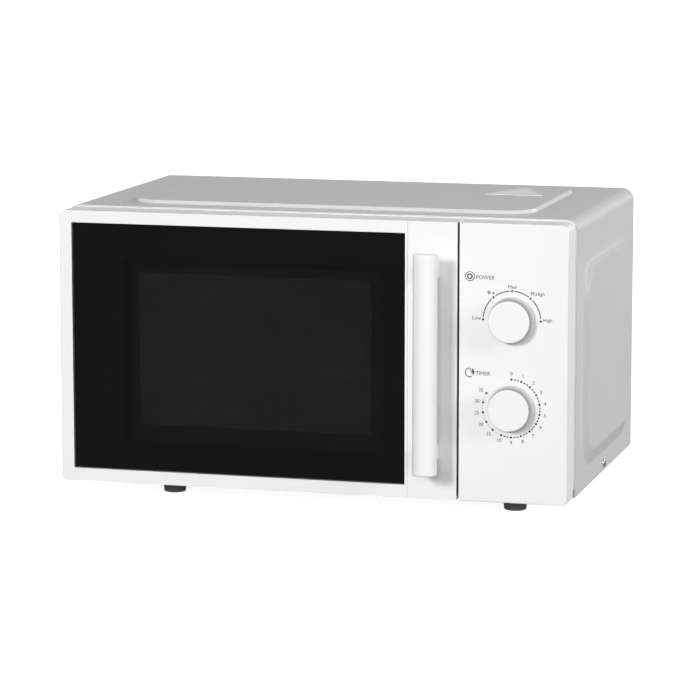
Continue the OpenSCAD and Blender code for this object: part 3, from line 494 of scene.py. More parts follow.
RECIPES = {
    "cover_paint": lambda n: moulded(n, (0.66, 0.66, 0.66), 0.34, 0.012, 0.03, 1500, 0.2),
    "galvanised_sheet": galvanised,
    "cavity_enamel": lambda n: moulded(n, (0.62, 0.63, 0.64), 0.22, 0.03, 0.12, 700),
    "front_enamel": lambda n: moulded(n, (0.82, 0.82, 0.82), 0.25, 0.012, 0.08, 900),
    "white_moulding": white_moulding,
    # the knobs' white moulding, with painted shade on the flanks
    "knob_flank_painted_shade": dial_moulding,
    "window_glass": lambda n: tinted(n, (0.010, 0.010, 0.0105), 0.42, 0.02, 0.06),
    "screen_steel": lambda n: moulded(n, (0.022, 0.022, 0.023), 0.5, 0.15, 0.1, 1200, 0.15),
    "film": lambda n: tinted(n, (0.03, 0.03, 0.032), 0.5, 0.12, 0.3),
    "choke_plastic": lambda n: moulded(n, (0.30, 0.30, 0.31), 0.5, 0.04, 0.25, 2200),
    "foot_rubber": lambda n: moulded(n, (0.12, 0.12, 0.122), 0.62, 0.2, 0.4, 1500),
    "black_nylon": lambda n: moulded(n, (0.022, 0.022, 0.023), 0.42, 0.1, 0.2, 1800),
    "white_nylon": lambda n: moulded(n, (0.80, 0.80, 0.77), 0.38, 0.03, 0.12, 1400),
    "red_nylon": lambda n: moulded(n, (0.52, 0.035, 0.025), 0.38, 0.08, 0.12, 1400),
    "zinc_steel": lambda n: sheet_metal(n, (0.66, 0.66, 0.67), 0.28, (1, 1, 0.15)),
    "bell_metal": lambda n: sheet_metal(n, (0.80, 0.79, 0.77), 0.14, (1, 0.2, 1), 0.1),
    "label_film": lambda n: moulded(n, (0.95, 0.95, 0.94), 0.32, 0.02, 0.05, 2400),
    "mica": mica_sheet,
    "lamp_glass": lambda n: clear(n, (0.96, 0.95, 0.90), 0.02, 1.45),
    "tray_glass": lambda n: clear(n, (0.90, 0.965, 0.955), 0.03, 1.5),
    "aluminium_fins": lambda n: sheet_metal(n, (0.78, 0.79, 0.80), 0.30, (0.2, 1, 1)),
    "copper_antenna": lambda n: sheet_metal(n, (0.72, 0.47, 0.28), 0.25, (0.2, 1, 1)),
    "lamination_steel": laminations,
    "enamelled_copper": windings,
    "black_epoxy": lambda n: moulded(n, (0.02, 0.02, 0.021), 0.3, 0.1, 0.1, 900),
    "circuit_board": board,
    "print_ink": lambda n: moulded(n, (0.010, 0.010, 0.011), 0.5, 0.1, 0.04, 2000, 0.1),
    "border_ink": lambda n: moulded(n, (0.016, 0.016, 0.017), 0.5, 0.1, 0.02, 1200, 0.05),
    "screen_mesh": lambda n: moulded(n, (0.125, 0.125, 0.129), 0.5, 0.1, 0.05, 1200, 0.15),
    "label_ink": lambda n: moulded(n, (0.36, 0.36, 0.37), 0.45, 0.05, 0.05, 2000),
}


def finish(name):
    """The material of that name, made once."""
    if name not in finishes:
        nodes = Nodes(name)
        RECIPES[name](nodes)
        finishes[name] = nodes.material
    return finishes[name]


for node, obj in frame["nodes"].items():
    for held in obj.material_slots:
        held.material = finish(node_slot[node])

# ---- camera, floor and light ----

CAMERA_AT = (0.7554, -2.7852, 0.5697)
CAMERA_TURN = math.radians(15.177)
CAMERA_DOWN = math.radians(8.933)
CAMERA_LENS = 172.38
camera_data = bpy.data.cameras.new("camera")
camera_data.sensor_width = 36.0
camera_data.lens = CAMERA_LENS
camera = bpy.data.objects.new("camera", camera_data)
camera.location = CAMERA_AT
camera.rotation_euler = (math.pi / 2 - CAMERA_DOWN, 0, CAMERA_TURN)
bpy.context.scene.collection.objects.link(camera)
bpy.context.scene.camera = camera
bpy.context.scene.view_settings.view_transform = "Standard"

world = bpy.data.worlds.new("studio")
world.use_nodes = True
bpy.context.scene.world = world
sky = world.node_tree.nodes["Background"]
sky.inputs["Color"].default_value = (1, 1, 1, 1)
sky.inputs["Strength"].default_value = 0.20


def studio_floor():
    """One flat pale disc, wide enough to fill the view up to its horizon. It glows for the camera
    only, so it doesn't light the object from below."""
    rim = circle(0, 0, 16.0, 96)
    mesh = bpy.data.meshes.new("studio_floor")
    mesh.from_pydata([(x, y, 0) for x, y in rim], [], [tuple(range(len(rim)))])
    floor = bpy.data.objects.new("studio_floor", mesh)
    paper = Nodes("studio_paper")
    paper.wire("Base Color", paper.mix(paper.noise(3, 2), (0.80, 0.80, 0.80), (0.84, 0.84, 0.84)))
    paper.set(Roughness=0.9, Specular_IOR_Level=0.1, Emission_Color=(1, 1, 1, 1),
              Emission_Strength=0.84)
    mesh.materials.append(paper.material)
    floor.visible_diffuse = floor.visible_glossy = False
    bpy.context.scene.collection.objects.link(floor)
    floor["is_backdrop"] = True


def softbox(name, at, target, size, watts):
    light = bpy.data.lights.new(name, "AREA")
    light.shape, light.size, light.size_y, light.energy = "RECTANGLE", size[0], size[1], watts
    obj = bpy.data.objects.new(name, light)
    obj.location = at
    obj.rotation_euler = (Vector(target) - Vector(at)).to_track_quat("-Z", "Y").to_euler()
    bpy.context.scene.collection.objects.link(obj)


studio_floor()
for name, at, aim, size, watts in (
        ("key_softbox", (-0.8, -3.3, 1.2), 0.12, (0.7, 0.6), 64),
        ("fill_softbox", (0.7, -3.2, 0.8), 0.12, (0.7, 0.6), 24),
        ("right_softbox", (2.8, -0.9, 1.1), 0.12, (1.2, 1.0), 38),
        ("rim_softbox", (2.2, 2.2, 1.1), 0.12, (1.2, 1.0), 48),
        ("left_softbox", (-2.8, 0.4, 0.9), 0.12, (1.2, 1.0), 20),
        ("top_softbox", (0.2, 0.3, 2.3), 0.2, (1.2, 1.6), 3),
        ("back_softbox", (-0.84, 3.4, 0.62), 0.2, (1.6, 0.7), 1.2)):
    softbox(name, at, (0, 0, aim), size, watts)

# ---- cover ----

SHEET = 0.8          # thickness of the steel sheets
cover_lo, cover_hi = box("outer_cover")
SIDE_RUN, SIDE_RISE = 5.0, 4.5    # how far the sides' pressings slope in, and stand out
TOP_RUN, TOP_RISE = 2.0, 3.0      # the same for the top's pressing
HALF = 221.5         # flat sides of the cover, from the middle
TOP = cover_hi.z - TOP_RISE
EDGE_R = 10.0        # bend between the sides and the top
HEM_R = 1.2          # bend at the foot of the sides
HEM_TOP = cover_lo.z + 1.6
SEGMENTS = 12


def pressed_side(shape, way):
    """One side of the cover: flat sheet with the raised panel, and slots on the left."""
    stand = side(way * HALF, way)
    flat = shape.ring([stand(u, v, 0) for u, v in
                       rect(cover_lo.y, HEM_TOP, cover_hi.y, TOP - EDGE_R)])
    low = rect(56.5, 19.5, 258, 193, 30, SEGMENTS)
    high = rect(60.5, 33, 252, 191, 26, SEGMENTS)
    loops = []
    for run, rise in slope(SIDE_RUN, SIDE_RISE, 1.5):
        t = run / SIDE_RUN
        loops.append(([(a[0] + (b[0] - a[0]) * t, a[1] + (b[1] - a[1]) * t)
                       for a, b in zip(low, high)], rise))
    foot, crown = shape.loft(loops, stand)
    shape.fill(flat, foot[::-1])
    slots = []
    if way < 0:
        slots = [shape.ring([stand(u, v, SIDE_RISE) for u, v in
                             hole(rect(y, 50, y + 3, 80, 1.4, 3))])
                 for y in range(100, 190, 9)]
    shape.fill(crown, *slots)


def cover():
    """The painted wrap: two sides and the top, with their pressings."""
    shape = Shape()
    for way in (-1, 1):
        pressed_side(shape, way)
        # long top edge, and the lower edge folded in
        bend = arc(HALF - EDGE_R, TOP - EDGE_R, EDGE_R, 0, 90, SEGMENTS)
        fold = [(HALF, HEM_TOP)] + arc(HALF - HEM_R, cover_lo.z + HEM_R, HEM_R, 0, -90, 4)
        fold.append((HALF - 7.8, cover_lo.z))
        for line in (bend, fold):
            ends = [shape.ring([(way * x, y, z) for x, z in line])
                    for y in (cover_lo.y, cover_hi.y)]
            shape.bridge(*ends, closed=False)
    flat = shape.ring([(u, v, TOP) for u, v in
                       rect(-HALF + EDGE_R, cover_lo.y, HALF - EDGE_R, cover_hi.y)])
    loop = rect(-176, 53.5, 177, 252.5, 28, SEGMENTS)
    foot, crown = shape.loft([(offset(loop, inset), TOP + rise)
                              for inset, rise in slope(TOP_RUN, TOP_RISE, 0.8)], plan)
    shape.fill(flat, foot[::-1])
    shape.fill(crown)
    piece("cover_shell", shape, "cabinet", "cover_paint", ["outer_cover"], SHEET)


cover()

# ---- front mouldings ----

FACE_R = 0.8         # rounding of the front's outer edges
SEAM_SHARE = 0.45    # the edges beside a seam are rounded less
TOUCH = 0.02         # an edge this near a face lies in it


def soften_faces():
    """The door's frame, its handle strip, the control panel and the glass, with rounded edges."""
    frame_right = box("door_frame")[1].x
    panel_lo, panel_hi = box("control_panel")
    glass_lo, glass_hi = box("door_glass")

    def at_front(a, b):
        return max(abs(a.y), abs(b.y)) <= TOUCH

    def frame_edges(m, a, b):
        if not at_front(a, b):
            return 0
        inner = glass_lo.x - 1 < m.x < glass_hi.x + 1 and glass_lo.z - 1 < m.z < glass_hi.z + 1
        if inner:
            return 0.35
        return SEAM_SHARE if abs(m.x - frame_right) < 0.05 else 1.0

    soften("door_frame", "door_front", "door", FACE_R, pick=frame_edges)

    seam = box("door_handle_panel")[0].x

    def strip_edges(m, a, b):
        if not at_front(a, b) or (m.x - 106.6) ** 2 < 9:
            return 0.0 if 10 < m.z < 220 else 1.0
        return SEAM_SHARE if abs(m.x - seam) < 0.05 else 1.0

    soften("door_handle_panel", "handle_strip", "door", FACE_R, pick=strip_edges)

    def dial_panel_edges(m, a, b):
        if not at_front(a, b):
            return 0
        rim = panel_lo.x + 4 < m.x < panel_hi.x - 4 and 10 < m.z < 220
        return 0.3 if rim else 1.0

    soften("control_panel", "dial_panel", "cabinet", FACE_R, pick=dial_panel_edges)
    soften("door_glass", "window_glass", "door", 0.35, segments=2,
           pick=lambda m, a, b: 1 if max(a.y, b.y) < 0.2 else 0)


soften_faces()

# ---- handle ----


END_R = 1.2          # rounding of the handle's ends
CORNER_R = 1.0       # rounding of its back edges
POSTS_Z = (40.5, 193.0)
ROUND = 0.86         # flattens the half circle a little


def handle():
    """Half-round bar with rounded ends, on two posts."""
    low, high = box("door_handle")
    mid, half = (low.x + high.x) / 2, (high.x - low.x) / 2
    back = low.y + half
    shape = Shape()
    outline = []
    for k in range(1, 32):
        t = math.pi * (1 + k / 32)
        c, s = math.cos(t), math.sin(t)
        outline.append((mid + half * math.copysign(abs(c) ** ROUND, c),
                        back - half * abs(s) ** ROUND))
    inner = half - CORNER_R
    outline += arc(mid + inner, back - CORNER_R, CORNER_R, 0, 90, 4)
    outline += arc(mid - inner, back - CORNER_R, CORNER_R, 90, 180, 4)
    shape.slab([outline], edge(low.z, high.z, END_R, END_R, 4), plan)
    for z in POSTS_Z:
        shape.slab([rect(mid - 4.5, z - 7, mid + 4.5, z + 7, 1.5, 4)],
                   [(-1.2, -0.02), (-0.4, -0.6), (0, -1.6), (0, back - 0.6)], front)
    piece("handle_bar", shape, "door", "white_moulding", ["door_handle"])


handle()

def door_edge():
    """Black strip down the door's free edge, in the gap beside the control panel: painted shade
    that darkens the gap.
    """
    low, high = box("door_handle_panel")
    shape = Shape()
    shape.slab([rect(1.2, low.z + 3, 8.0, high.z - 0.5, 0.4, 3)],
               [(0, -0.02), (0, 0.3), (0.15, 0.45)], side(high.x, 1))
    # black strip that stands in for the shade in the gap
    piece("gap_shade_strip", shape, "door", "black_nylon")


door_edge()

# ---- knobs and their print ----

def middle(node):
    """Middle of a CAD node, across and up."""
    low, high = box(node)
    return (low.x + high.x) / 2, (low.z + high.z) / 2


DIAL_X, POWER_Z = middle("power_knob")
TIMER_Z = middle("timer_knob")[1]
FACE_RADIUS = 17.4   # the knobs' faces


def knob(node, name, body, z):
    """Round knob with a flat face, a flank that flares to its base, and a hollow back."""
    low, high = box(node)
    base_r, reach, gap = (high.x - low.x) / 2, -low.y, -high.y
    profile = [(0.0, reach), (6.0, reach), (12.0, reach)]
    profile += [(FACE_RADIUS - 1.0 + math.sin(t), reach - 1.0 + math.cos(t))
                for t in (math.pi / 2 * k / 5 for k in range(6))]
    profile += [(FACE_RADIUS + 0.1, reach - 4.0), (FACE_RADIUS + 0.3, reach - 6.0),
                (FACE_RADIUS + 0.7, gap + 4.4), (FACE_RADIUS + 1.2, gap + 3.0),
                (FACE_RADIUS + 1.9, gap + 1.9),
                (base_r - 0.4, gap + 1.1),
                (base_r - 0.1, gap + 0.6), (base_r - 0.15, gap), (base_r - 1.6, gap),
                (base_r - 2.6, gap + 1.0), (15.4, gap + 3.0), (15.0, reach - 2.4),
                (6.0, reach - 2.4), (5.6, gap + 0.2), (3.2, gap + 0.2), (3.2, 9.2), (0.0, 9.2)]
    shape = Shape()
    shape.lathe(profile, (DIAL_X, 0, z), (0, -1, 0), 96)
    piece(name, shape, body, "white_moulding", [node], look="knob_flank_painted_shade", angle=40)


knob("power_knob", "power_dial_knob", "power_dial", POWER_Z)
knob("timer_knob", "timer_dial_knob", "timer_dial", TIMER_Z)

INK = 0.05           # the print stands this far off the panel
INK_STEPS = [(0, -INK), (0, 0.01)]
CAP_SHARE = 0.70     # height of a capital in the built-in font at size 1


def lettering(shape, text, x, z, cap):
    """Adds a word's outline, flat on the panel, with capitals of the given height."""
    curve = bpy.data.curves.new("word", "FONT")
    curve.body, curve.align_x, curve.align_y, curve.size = text, "CENTER", "CENTER", 1.0
    curve.resolution_u = 3
    curve.extrude = 0.5
    word = bpy.data.objects.new("word", curve)
    bpy.context.scene.collection.objects.link(word)
    held = word.evaluated_get(bpy.context.evaluated_depsgraph_get())
    mesh = bpy.data.meshes.new_from_object(held)
    size = cap / CAP_SHARE
    base = len(shape.verts)
    shape.verts += [(x + v.co.x * size, -INK / 2 + v.co.z * (INK + 0.02), z + v.co.y * size)
                    for v in mesh.vertices]
    shape.faces += [tuple(base + i for i in p.vertices) for p in mesh.polygons]
    bpy.data.objects.remove(word)
    bpy.data.curves.remove(curve)
    bpy.data.meshes.remove(mesh)


def clock(angle, r):
    """Point at a clockwise angle from the top, r from the middle."""
    return r * math.sin(math.radians(angle)), r * math.cos(math.radians(angle))


def ink_dot(shape, x, z, r, n=14):
    shape.slab([circle(x, z, r, n)], INK_STEPS)


def ink_arc(shape, cx, cz, r, width, start, stop):
    """Curved line between two clockwise angles from the top."""
    n = max(int(abs(stop - start) / 4), 2)
    outer = arc(cx, cz, r + width / 2, 90 - stop, 90 - start, n)
    inner = arc(cx, cz, r - width / 2, 90 - stop, 90 - start, n)
    shape.slab([outer + inner[::-1]], INK_STEPS)


def ink_ring(shape, x, z, r, width):
    shape.slab([circle(x, z, r, 36), hole(circle(x, z, r - width, 36))], INK_STEPS)


def ink_bar(shape, x, z, length, width, angle):
    """Straight line through its middle at x, z, leaning clockwise from upright by the angle."""
    u = Vector(clock(angle, length / 2))
    v = Vector((-u.y, u.x)).normalized() * width / 2
    c = Vector((x, z))
    corners = (c - u + v, c - u - v, c + u - v, c + u + v)
    shape.slab([[tuple(corner) for corner in corners]], INK_STEPS)


DOT_R = 24.1         # circle of the marks round each knob
DIGIT_R = 28.8       # circle of the timer's numbers
MARK = 0.95          # radius of a mark
STEP = 20            # degrees from one timer mark to the next
WHOLE = 10           # the timer's marks are a minute apart up to here, then five
SIGN_X = 137.4


def power_scale(shape):
    """Five levels, with a snowflake and a drop for defrosting."""
    marks = (-90, -40, 0, 40, 90)
    for angle in marks:
        x, z = clock(angle, DOT_R)
        ink_dot(shape, DIAL_X + x, POWER_Z + z, MARK)
    for a, b in zip(marks, marks[1:]):
        ink_arc(shape, DIAL_X, POWER_Z, DOT_R, 0.8, a + 4.5, b - 4.5)
    for text, x, z in (("Low", -29.7, 0.8), ("Med", 0.1, 27.4), ("M.High", 21.4, 22.3),
                       ("High", 30.0, 0.9)):
        lettering(shape, text, DIAL_X + x, POWER_Z + z, 2.9)
    x, z = DIAL_X - 19.3, POWER_Z + 22.4
    for angle in (0, 60, 120):
        ink_bar(shape, x, z, 3.3, 0.3, angle)
    ink_ring(shape, x, z, 1.35, 0.3)
    ink_dot(shape, DIAL_X - 15.6, POWER_Z + 22.0, 0.8)


def timer_scale(shape):
    """Dashes between the first ten minutes, and small dots from there to 35."""
    for k in range(16):
        x, z = clock(STEP * k, DOT_R)
        ink_dot(shape, DIAL_X + x, TIMER_Z + z, MARK)
    for k in range(WHOLE):
        for a, b in ((5.0, 9.2), (11.0, 15.4)):
            ink_arc(shape, DIAL_X, TIMER_Z, DOT_R, 0.9, STEP * k + a, STEP * k + b)
    for k in range(WHOLE, 15):
        for j in range(1, 6):
            x, z = clock(STEP * k + 3.33 * j, DOT_R)
            ink_dot(shape, DIAL_X + x, TIMER_Z + z, 0.28, 8)
    for k in range(16):
        value = k if k <= WHOLE else WHOLE + 5 * (k - WHOLE)
        x, z = clock(STEP * k, DIGIT_R)
        if value > 9:
            x *= 1.02
        lettering(shape, str(value), DIAL_X + x, TIMER_Z + z, 3.0)


def dial_print():
    """The two scales, and the signs and words beside them."""
    shape = Shape()
    power_scale(shape)
    timer_scale(shape)
    ink_ring(shape, SIGN_X, POWER_Z + 35.2, 4.05, 0.65)
    ink_ring(shape, SIGN_X, POWER_Z + 35.2, 2.35, 1.05)
    lettering(shape, "POWER", 150.3, POWER_Z + 34.4, 3.2)
    x, z = SIGN_X + 0.2, TIMER_Z + 28.6
    ink_arc(shape, x, z, 3.65, 0.7, 150, 362)
    ink_bar(shape, x + 1.4, z + 0.4, 6.9, 0.35, 154)
    ink_bar(shape, x + 2.1, z + 0.7, 6.2, 0.35, 152)
    shape.slab([arc(x, z, 4.0, -22, 60, 8) + [(x + 2.2, z + 1.0)]], INK_STEPS)
    lettering(shape, "TIMER", 148.8, TIMER_Z + 28.1, 3.2)
    piece("dial_print", shape, "cabinet", "black_nylon", look="print_ink", angle=60)


dial_print()

# ---- perforated screen behind the glass ----

FIELD = (-155.0, 47.4, 49.5, 179.2)    # the perforated field: left, bottom, right, top
PITCH = 1.9          # from hole to hole
WINDOW = (-163, 35.5, 62.8, 191)       # the clear part of the glass
LIP = (-178, 26, 74, 206)              # outside of the choke's lip
LIP_SHEET = 0.8


def screen():
    """The pressed screen, its choke lip and the perforated field, a ring round each hole."""
    low, high = box("door_screen")
    pan = Shape()
    loop = rect(low.x, low.z, high.x, high.z, 3, 6)
    steps = [(0, high.y)] + [(1.2 * (1 - math.sin(t)), low.y + 1.2 * (1 - math.cos(t)))
                             for t in (math.pi / 2 * k / 4 for k in range(4, -1, -1))]
    _, rim = pan.loft([(offset(loop, inset), d) for inset, d in steps], front)
    field = rect(*FIELD, 1.0, 3)
    foot, crown = pan.loft([(offset(field, -0.5 + inset), low.y + d)
                            for inset, d in ((0, 0), (0.5, 0.05), (0.9, 0.28))], front)
    pan.fill(rim, foot[::-1])
    piece("screen_pan", pan, "door", "screen_steel", ["door_screen"], 0.5)
    lip = Shape()
    inside = [v + LIP_SHEET * way for v, way in zip(LIP, (1, 1, -1, -1))]
    lip.slab([rect(*LIP, 6, 5), hole(rect(*inside, 6 - LIP_SHEET, 5))],
             edge(low.y + 0.9, 24, 0, 0.2, 2))
    piece("choke_lip", lip, "door", "screen_steel")
    mesh = Shape()
    rise = PITCH * math.sqrt(3) / 2
    cell, bore = PITCH / math.sqrt(3), PITCH * 0.39
    rows = int((FIELD[3] - FIELD[1]) / rise) + 1
    columns = int((FIELD[2] - FIELD[0]) / PITCH) + 1
    turn = [(math.cos(math.radians(30 + 60 * k)), math.sin(math.radians(30 + 60 * k)))
            for k in range(6)]
    depth = low.y + 0.34
    for j in range(rows):
        z = FIELD[1] + (j + 0.5) * rise
        for i in range(columns):
            x = FIELD[0] + (i + 0.5 * (j % 2) + 0.2) * PITCH
            outer = mesh.ring([(x + cell * c, depth, z + cell * s) for c, s in turn])
            inner = mesh.ring([(x + bore * c, depth, z + bore * s) for c, s in turn])
            mesh.bridge(outer, inner)
    piece("screen_mesh", mesh, "door", "screen_steel", look="screen_mesh")


screen()


def glass_border():
    """Black print on the back of the glass, round the clear window."""
    low, high = box("door_glass")
    shape = Shape()
    shape.slab([rect(low.x + 0.3, low.z + 0.3, high.x - 0.3, high.z - 0.3, 0.6, 3),
                hole(rect(*WINDOW, 2, 4))],
               [(0, high.y + 0.02), (0, high.y + 0.07)])
    piece("glass_border", shape, "door", "window_glass", look="border_ink")


glass_border()

# ---- outside fittings ----

BACK = cover_hi.y    # outer face of the flat rear sheet
HEAD = 1.6           # height of a screw's head
RECESS = 0.9         # depth of its cross
FAN_AT = (163, 153)  # middle of the fan's inlet holes, across and up
INLET_PITCH = 7
GLAND_AT = (196, 34)
GLAND_NECK = 7       # radius


def screw_head(shape, centre, axis, r=3.4, h=HEAD):
    """Domed head with a cross recess; its seat is at centre and it rises along the axis."""
    at = turned(centre, axis)
    n = 24
    rings = [shape.ring([at(r * a, 2 * math.pi * k / n, h * b) for k in range(n)])
             for a, b in ((1, 0), (1, 0.35), (0.95, 0.7), (0.80, 0.93), (0.62, 1.0))]
    for a, b in zip(rings, rings[1:]):
        shape.bridge(a, b)
    arm, half = 0.5 * r, 0.11 * r
    cross = []
    for k in range(4):
        for u, v in ((half, -half), (arm, -half), (arm, half)):
            turn = math.pi / 2 * k
            cross.append((u * math.cos(turn) - v * math.sin(turn),
                          u * math.sin(turn) + v * math.cos(turn)))
    rim, foot = ([at(math.hypot(u, v), math.atan2(v, u), z) for u, v in cross]
                 for z in (h, h - RECESS))
    rim, foot = shape.ring(rim), shape.ring(foot)
    shape.fill(rings[-1], rim[::-1])
    shape.bridge(rim, foot)
    shape.fill(foot)
    shape.fill(rings[0], flip=True)


def screws():
    """The cover's side screws and the rear panel's screws."""
    shape = Shape()
    out = box("cover_screws")[1].x - HEAD
    for way in (-1, 1):
        screw_head(shape, (way * out, 152, 8.3), (way, 0, 0))
    for x in (-214, -70, 60, 214):
        screw_head(shape, (x, BACK, 228.5), (0, 1, 0))
    for x in (-214, 214):
        for z in (20, 90):
            screw_head(shape, (x, BACK, z), (0, 1, 0))
    piece("cross_screws", shape, "cabinet", "zinc_steel", ["cover_screws"])


def rear_panel():
    """Flat sheet with the hollow bulge, the fan's inlet holes and the exhaust slots."""
    low, high = box("back_panel")
    shape = Shape()
    flange = shape.ring([front(u, v, BACK) for u, v in
                         rect(low.x, low.z, high.x, high.z, 9, 6)])
    loop = rect(-208, 12, 106, 224, 14, 8)
    rise = high.y - BACK
    quarter = [math.pi / 2 * k / 5 for k in range(6)]
    steps = [(-1.5 + 1.5 * math.sin(t), 1.5 - 1.5 * math.cos(t)) for t in quarter]
    steps += [(6.0 - 5 * math.cos(t), rise - 5 + 5 * math.sin(t)) for t in quarter]
    foot, crown = shape.loft([(offset(loop, inset), BACK + d) for inset, d in steps], front)
    holes = [shape.ring([front(u, v, BACK) for u, v in
                         hole(circle(FAN_AT[0] + INLET_PITCH * i, FAN_AT[1] + INLET_PITCH * k,
                                     2.2, 12))])
             for i in range(-6, 7) for k in range(-6, 7) if math.hypot(i, k) < 6.3]
    holes.append(shape.ring([front(u, v, BACK) for u, v in hole(circle(*GLAND_AT, GLAND_NECK))]))
    shape.fill(flange, foot[::-1], *holes)
    slots = [shape.ring([front(u, v, high.y) for u, v in hole(rect(x, 150, x + 4, 190, 1.9, 4))])
             for x in range(-190, -78, 8)]
    shape.fill(crown, *slots)
    piece("rear_shell", shape, "cabinet", "galvanised_sheet", ["back_panel"], SHEET)


FEET = [(x, y) for x in (-134.5, 166) for y in (50, 245)]
FOOT_SEAT = 4.9      # height of the screw's seat in a foot


def rubber_feet():
    """Four hollow feet, each with its screw."""
    shape, fixings = Shape(), Shape()
    ground = box("feet")[0].z
    profile = [(0, 5), (3.9, 5), (3.9, 0.6), (4.5, 0), (8.4, 0), (9.1, 0.3), (9.45, 1.1),
               (9.9, 6), (10.05, 6.4), (9.8, 6.8), (10.1, 7.3), (10.55, 14), (10.7, 15.6),
               (10.7, 17.2), (3.5, 17.2), (3.5, 18.05), (5, 18.05), (5, 19.6), (0, 19.6)]
    for x, y in FEET:
        shape.lathe(profile, (x, y, ground), (0, 0, 1), 48)
        screw_head(fixings, (x, y, ground + FOOT_SEAT), (0, 0, -1), 3.3, 1.8)
    piece("rubber_feet", shape, "cabinet", "foot_rubber", ["feet"], angle=40)
    piece("foot_screws", fixings, "cabinet", "zinc_steel")


def rounded(corners, r):
    """Outline round three or more anticlockwise corners, r outside them."""
    points, count = [], len(corners)
    for k in range(count):
        a, b, c = (Vector(corners[(k + j) % count]) for j in (-1, 0, 1))
        start, stop = (math.degrees(math.atan2(-e.x, e.y)) for e in (b - a, c - b))
        points += arc(b.x, b.y, r, start, start + (stop - start) % 360, 6)
    return points


def top_label():
    """Blank label with a thin printed border."""
    low, high = box("caution_label")
    corners = [(115.5, 176), (155.5, 176), (135, 223.5)]
    shape = Shape()
    shape.slab([rounded(corners, 5)],
               [(0, low.z), (0, high.z - 0.12), (0.08, high.z - 0.04)], plan)
    piece("label_patch", shape, "cabinet", "label_film", ["caution_label"])
    border = Shape()
    border.slab([rounded(corners, 3.1), hole(rounded(corners, 2.5))],
                [(0, high.z - 0.05), (0, high.z)], plan)
    piece("label_border", border, "cabinet", "label_film", look="label_ink")


def gland():
    """Bush in the rear sheet, with a neck between two flanges."""
    low = box("cord_gland")[0]
    shape = Shape()
    shape.lathe([(3.6, 0), (9, 0), (9, 6.2), (GLAND_NECK, 6.2), (GLAND_NECK, 8), (10, 8),
                 (10, 9.7), (9.7, 10.5), (8.9, 11), (4.6, 11), (3.9, 10.7), (3.6, 10.1)],
                (GLAND_AT[0], low.y, GLAND_AT[1]), (0, 1, 0), 48, closed=True)
    piece("gland_bush", shape, "cabinet", "black_nylon", ["cord_gland"])


def base_ribs():
    """Stiffening beads pressed into the underside."""
    shape = Shape()
    level = box("base_plate")[0].z
    for x0, y0, x1, y1 in ((-180, 80, 60, 88), (-180, 120, 60, 128), (-110, 200, 60, 208),
                           (-110, 232, 60, 240), (96, 80, 200, 88), (96, 110, 200, 118)):
        shape.slab([rect(x0, y0, x1, y1, 3.9, 5)],
                   [(0, level + 0.3), (0, level), (0.5, level - 0.35), (1.4, level - 0.7),
                    (2.4, level - 0.8)], plan)
    piece("base_ribs", shape, "cabinet", "galvanised_sheet")


screws()
rear_panel()
rubber_feet()
top_label()
gland()
base_ribs()

# ---- cooking space ----

tray_low, tray_high = box("glass_tray")
MID = (tray_low + tray_high) / 2


def liner():
    """Enamelled cavity with its long inner edges rounded, and a bead pressed into the floor."""
    low, high = box("cavity")
    floor, ceiling = low.z + SHEET, high.z - SHEET

    def inner_edges(m, a, b):
        level = min(abs(a.z - floor) + abs(b.z - floor), abs(a.z - ceiling) + abs(b.z - ceiling))
        at_hole = (m.x - MID.x) ** 2 + (m.y - MID.y) ** 2 < 144
        return 1 if level < TOUCH and m.y > low.y + 0.5 and not at_hole else 0

    soften("cavity", "oven_liner", "cabinet", 3.0, pick=inner_edges)
    bead = Shape()
    bead.lathe([(108.5, -0.1), (109, 0.25), (110.2, 0.7), (111.5, 0.85), (112.8, 0.7), (114, 0.25),
                (114.5, -0.1)], (MID.x, MID.y, floor), (0, 0, 1), 96, closed=True)
    piece("floor_bead", bead, "cabinet", "cavity_enamel")
    rivets = Shape()
    cover_low, cover_high = box("waveguide_cover")
    for y in (cover_low.y + 4, cover_high.y - 4):
        z = (cover_low.z + cover_high.z) / 2
        rivets.lathe([(0, 1.5), (1.4, 1.4), (2.5, 0.9), (3.0, 0.2), (3.0, -0.1), (0, -0.1)],
                     (cover_low.x, y, z), (-1, 0, 0), 28)
    piece("mica_rivets", rivets, "cabinet", "white_nylon")


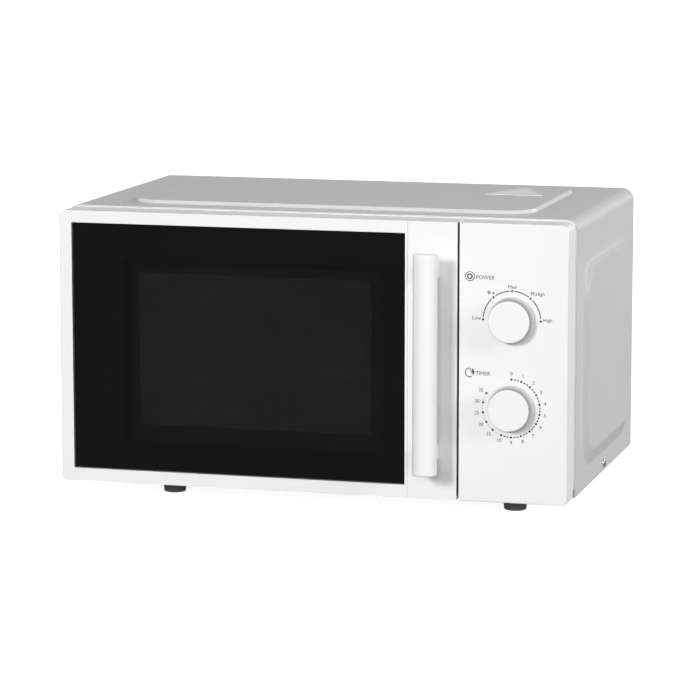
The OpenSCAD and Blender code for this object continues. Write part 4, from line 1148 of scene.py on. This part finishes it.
def lobes(grow):
    """Outline of the coupler's three lobes round their hub."""
    r, half, reach = 8 + grow, 3 + grow, 14 + grow
    lean = math.degrees(math.asin(half / r))
    points = []
    for k in range(3):
        c, s = math.cos(math.radians(120 * k)), math.sin(math.radians(120 * k))
        for u, v in ((reach, -half), (reach, half)):
            points.append((MID.x + u * c - v * s, MID.y + u * s + v * c))
        points += arc(MID.x, MID.y, r, 120 * k + lean, 120 * (k + 1) - lean, 6)
    return points


def turning_tray():
    """Glass plate with a turned-up rim, and a boss that fits over the coupler's lobes."""
    base = tray_high.z - 12
    shape = Shape()
    shape.lathe([(0, 0), (60, 0), (104, 0), (108.5, 0.3), (113, 1.3), (117.2, 3.2), (120.2, 6),
                 (122, 9), (122.5, 11), (122.4, 11.6), (121.6, 12), (120.6, 11.8), (119.4, 10.4),
                 (117.2, 8), (114.4, 6.1), (111, 4.8), (107, 4.1), (103, 4), (60, 4), (0, 4)],
                (MID.x, MID.y, base), (0, 0, 1), 128)
    shape.slab([circle(MID.x, MID.y, 19, 64), hole(lobes(0.4))],
               [(0.3, tray_low.z), (0, tray_low.z + 0.3), (0, base)], plan, (True, False))
    piece("turn_tray", shape, "tray", "tray_glass", ["glass_tray"], angle=50)


liner()
turning_tray()
for letter, number in zip("abc", "123"):
    soften("roller_" + number, "wheel_" + letter, "roller_" + letter, 1.2, segments=4)
soften("roller_ring", "ring_frame", "ring", 0.9)
soften("turntable_coupler", "coupler_hub", "coupler", 0.5)

# ---- door hardware ----


def door_parts():
    """The choke cover, the latch and its spring, and the hinges."""
    back = box("choke_cover")[1].y
    soften("choke_cover", "door_liner", "door", 1.0,
           pick=lambda m, a, b: 1 if min(a.y, b.y) > back - TOUCH else 0)
    soften("door_latch", "latch_bar", "latch", 0.5)
    coil = soften("latch_spring", "lift_spring", "door", 0.1, segments=1, angle=80)
    foot, head = box("latch_spring")
    row((foot.x, foot.y, head.z))
    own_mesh(coil)
    for end in ("upper", "lower"):
        soften("hinge_" + end, "hinge_" + end + "_arm", "cabinet", 0.5)


door_parts()

size = {"cad": [list(c) for c in cad_box], "visual": [list(c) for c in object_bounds()]}
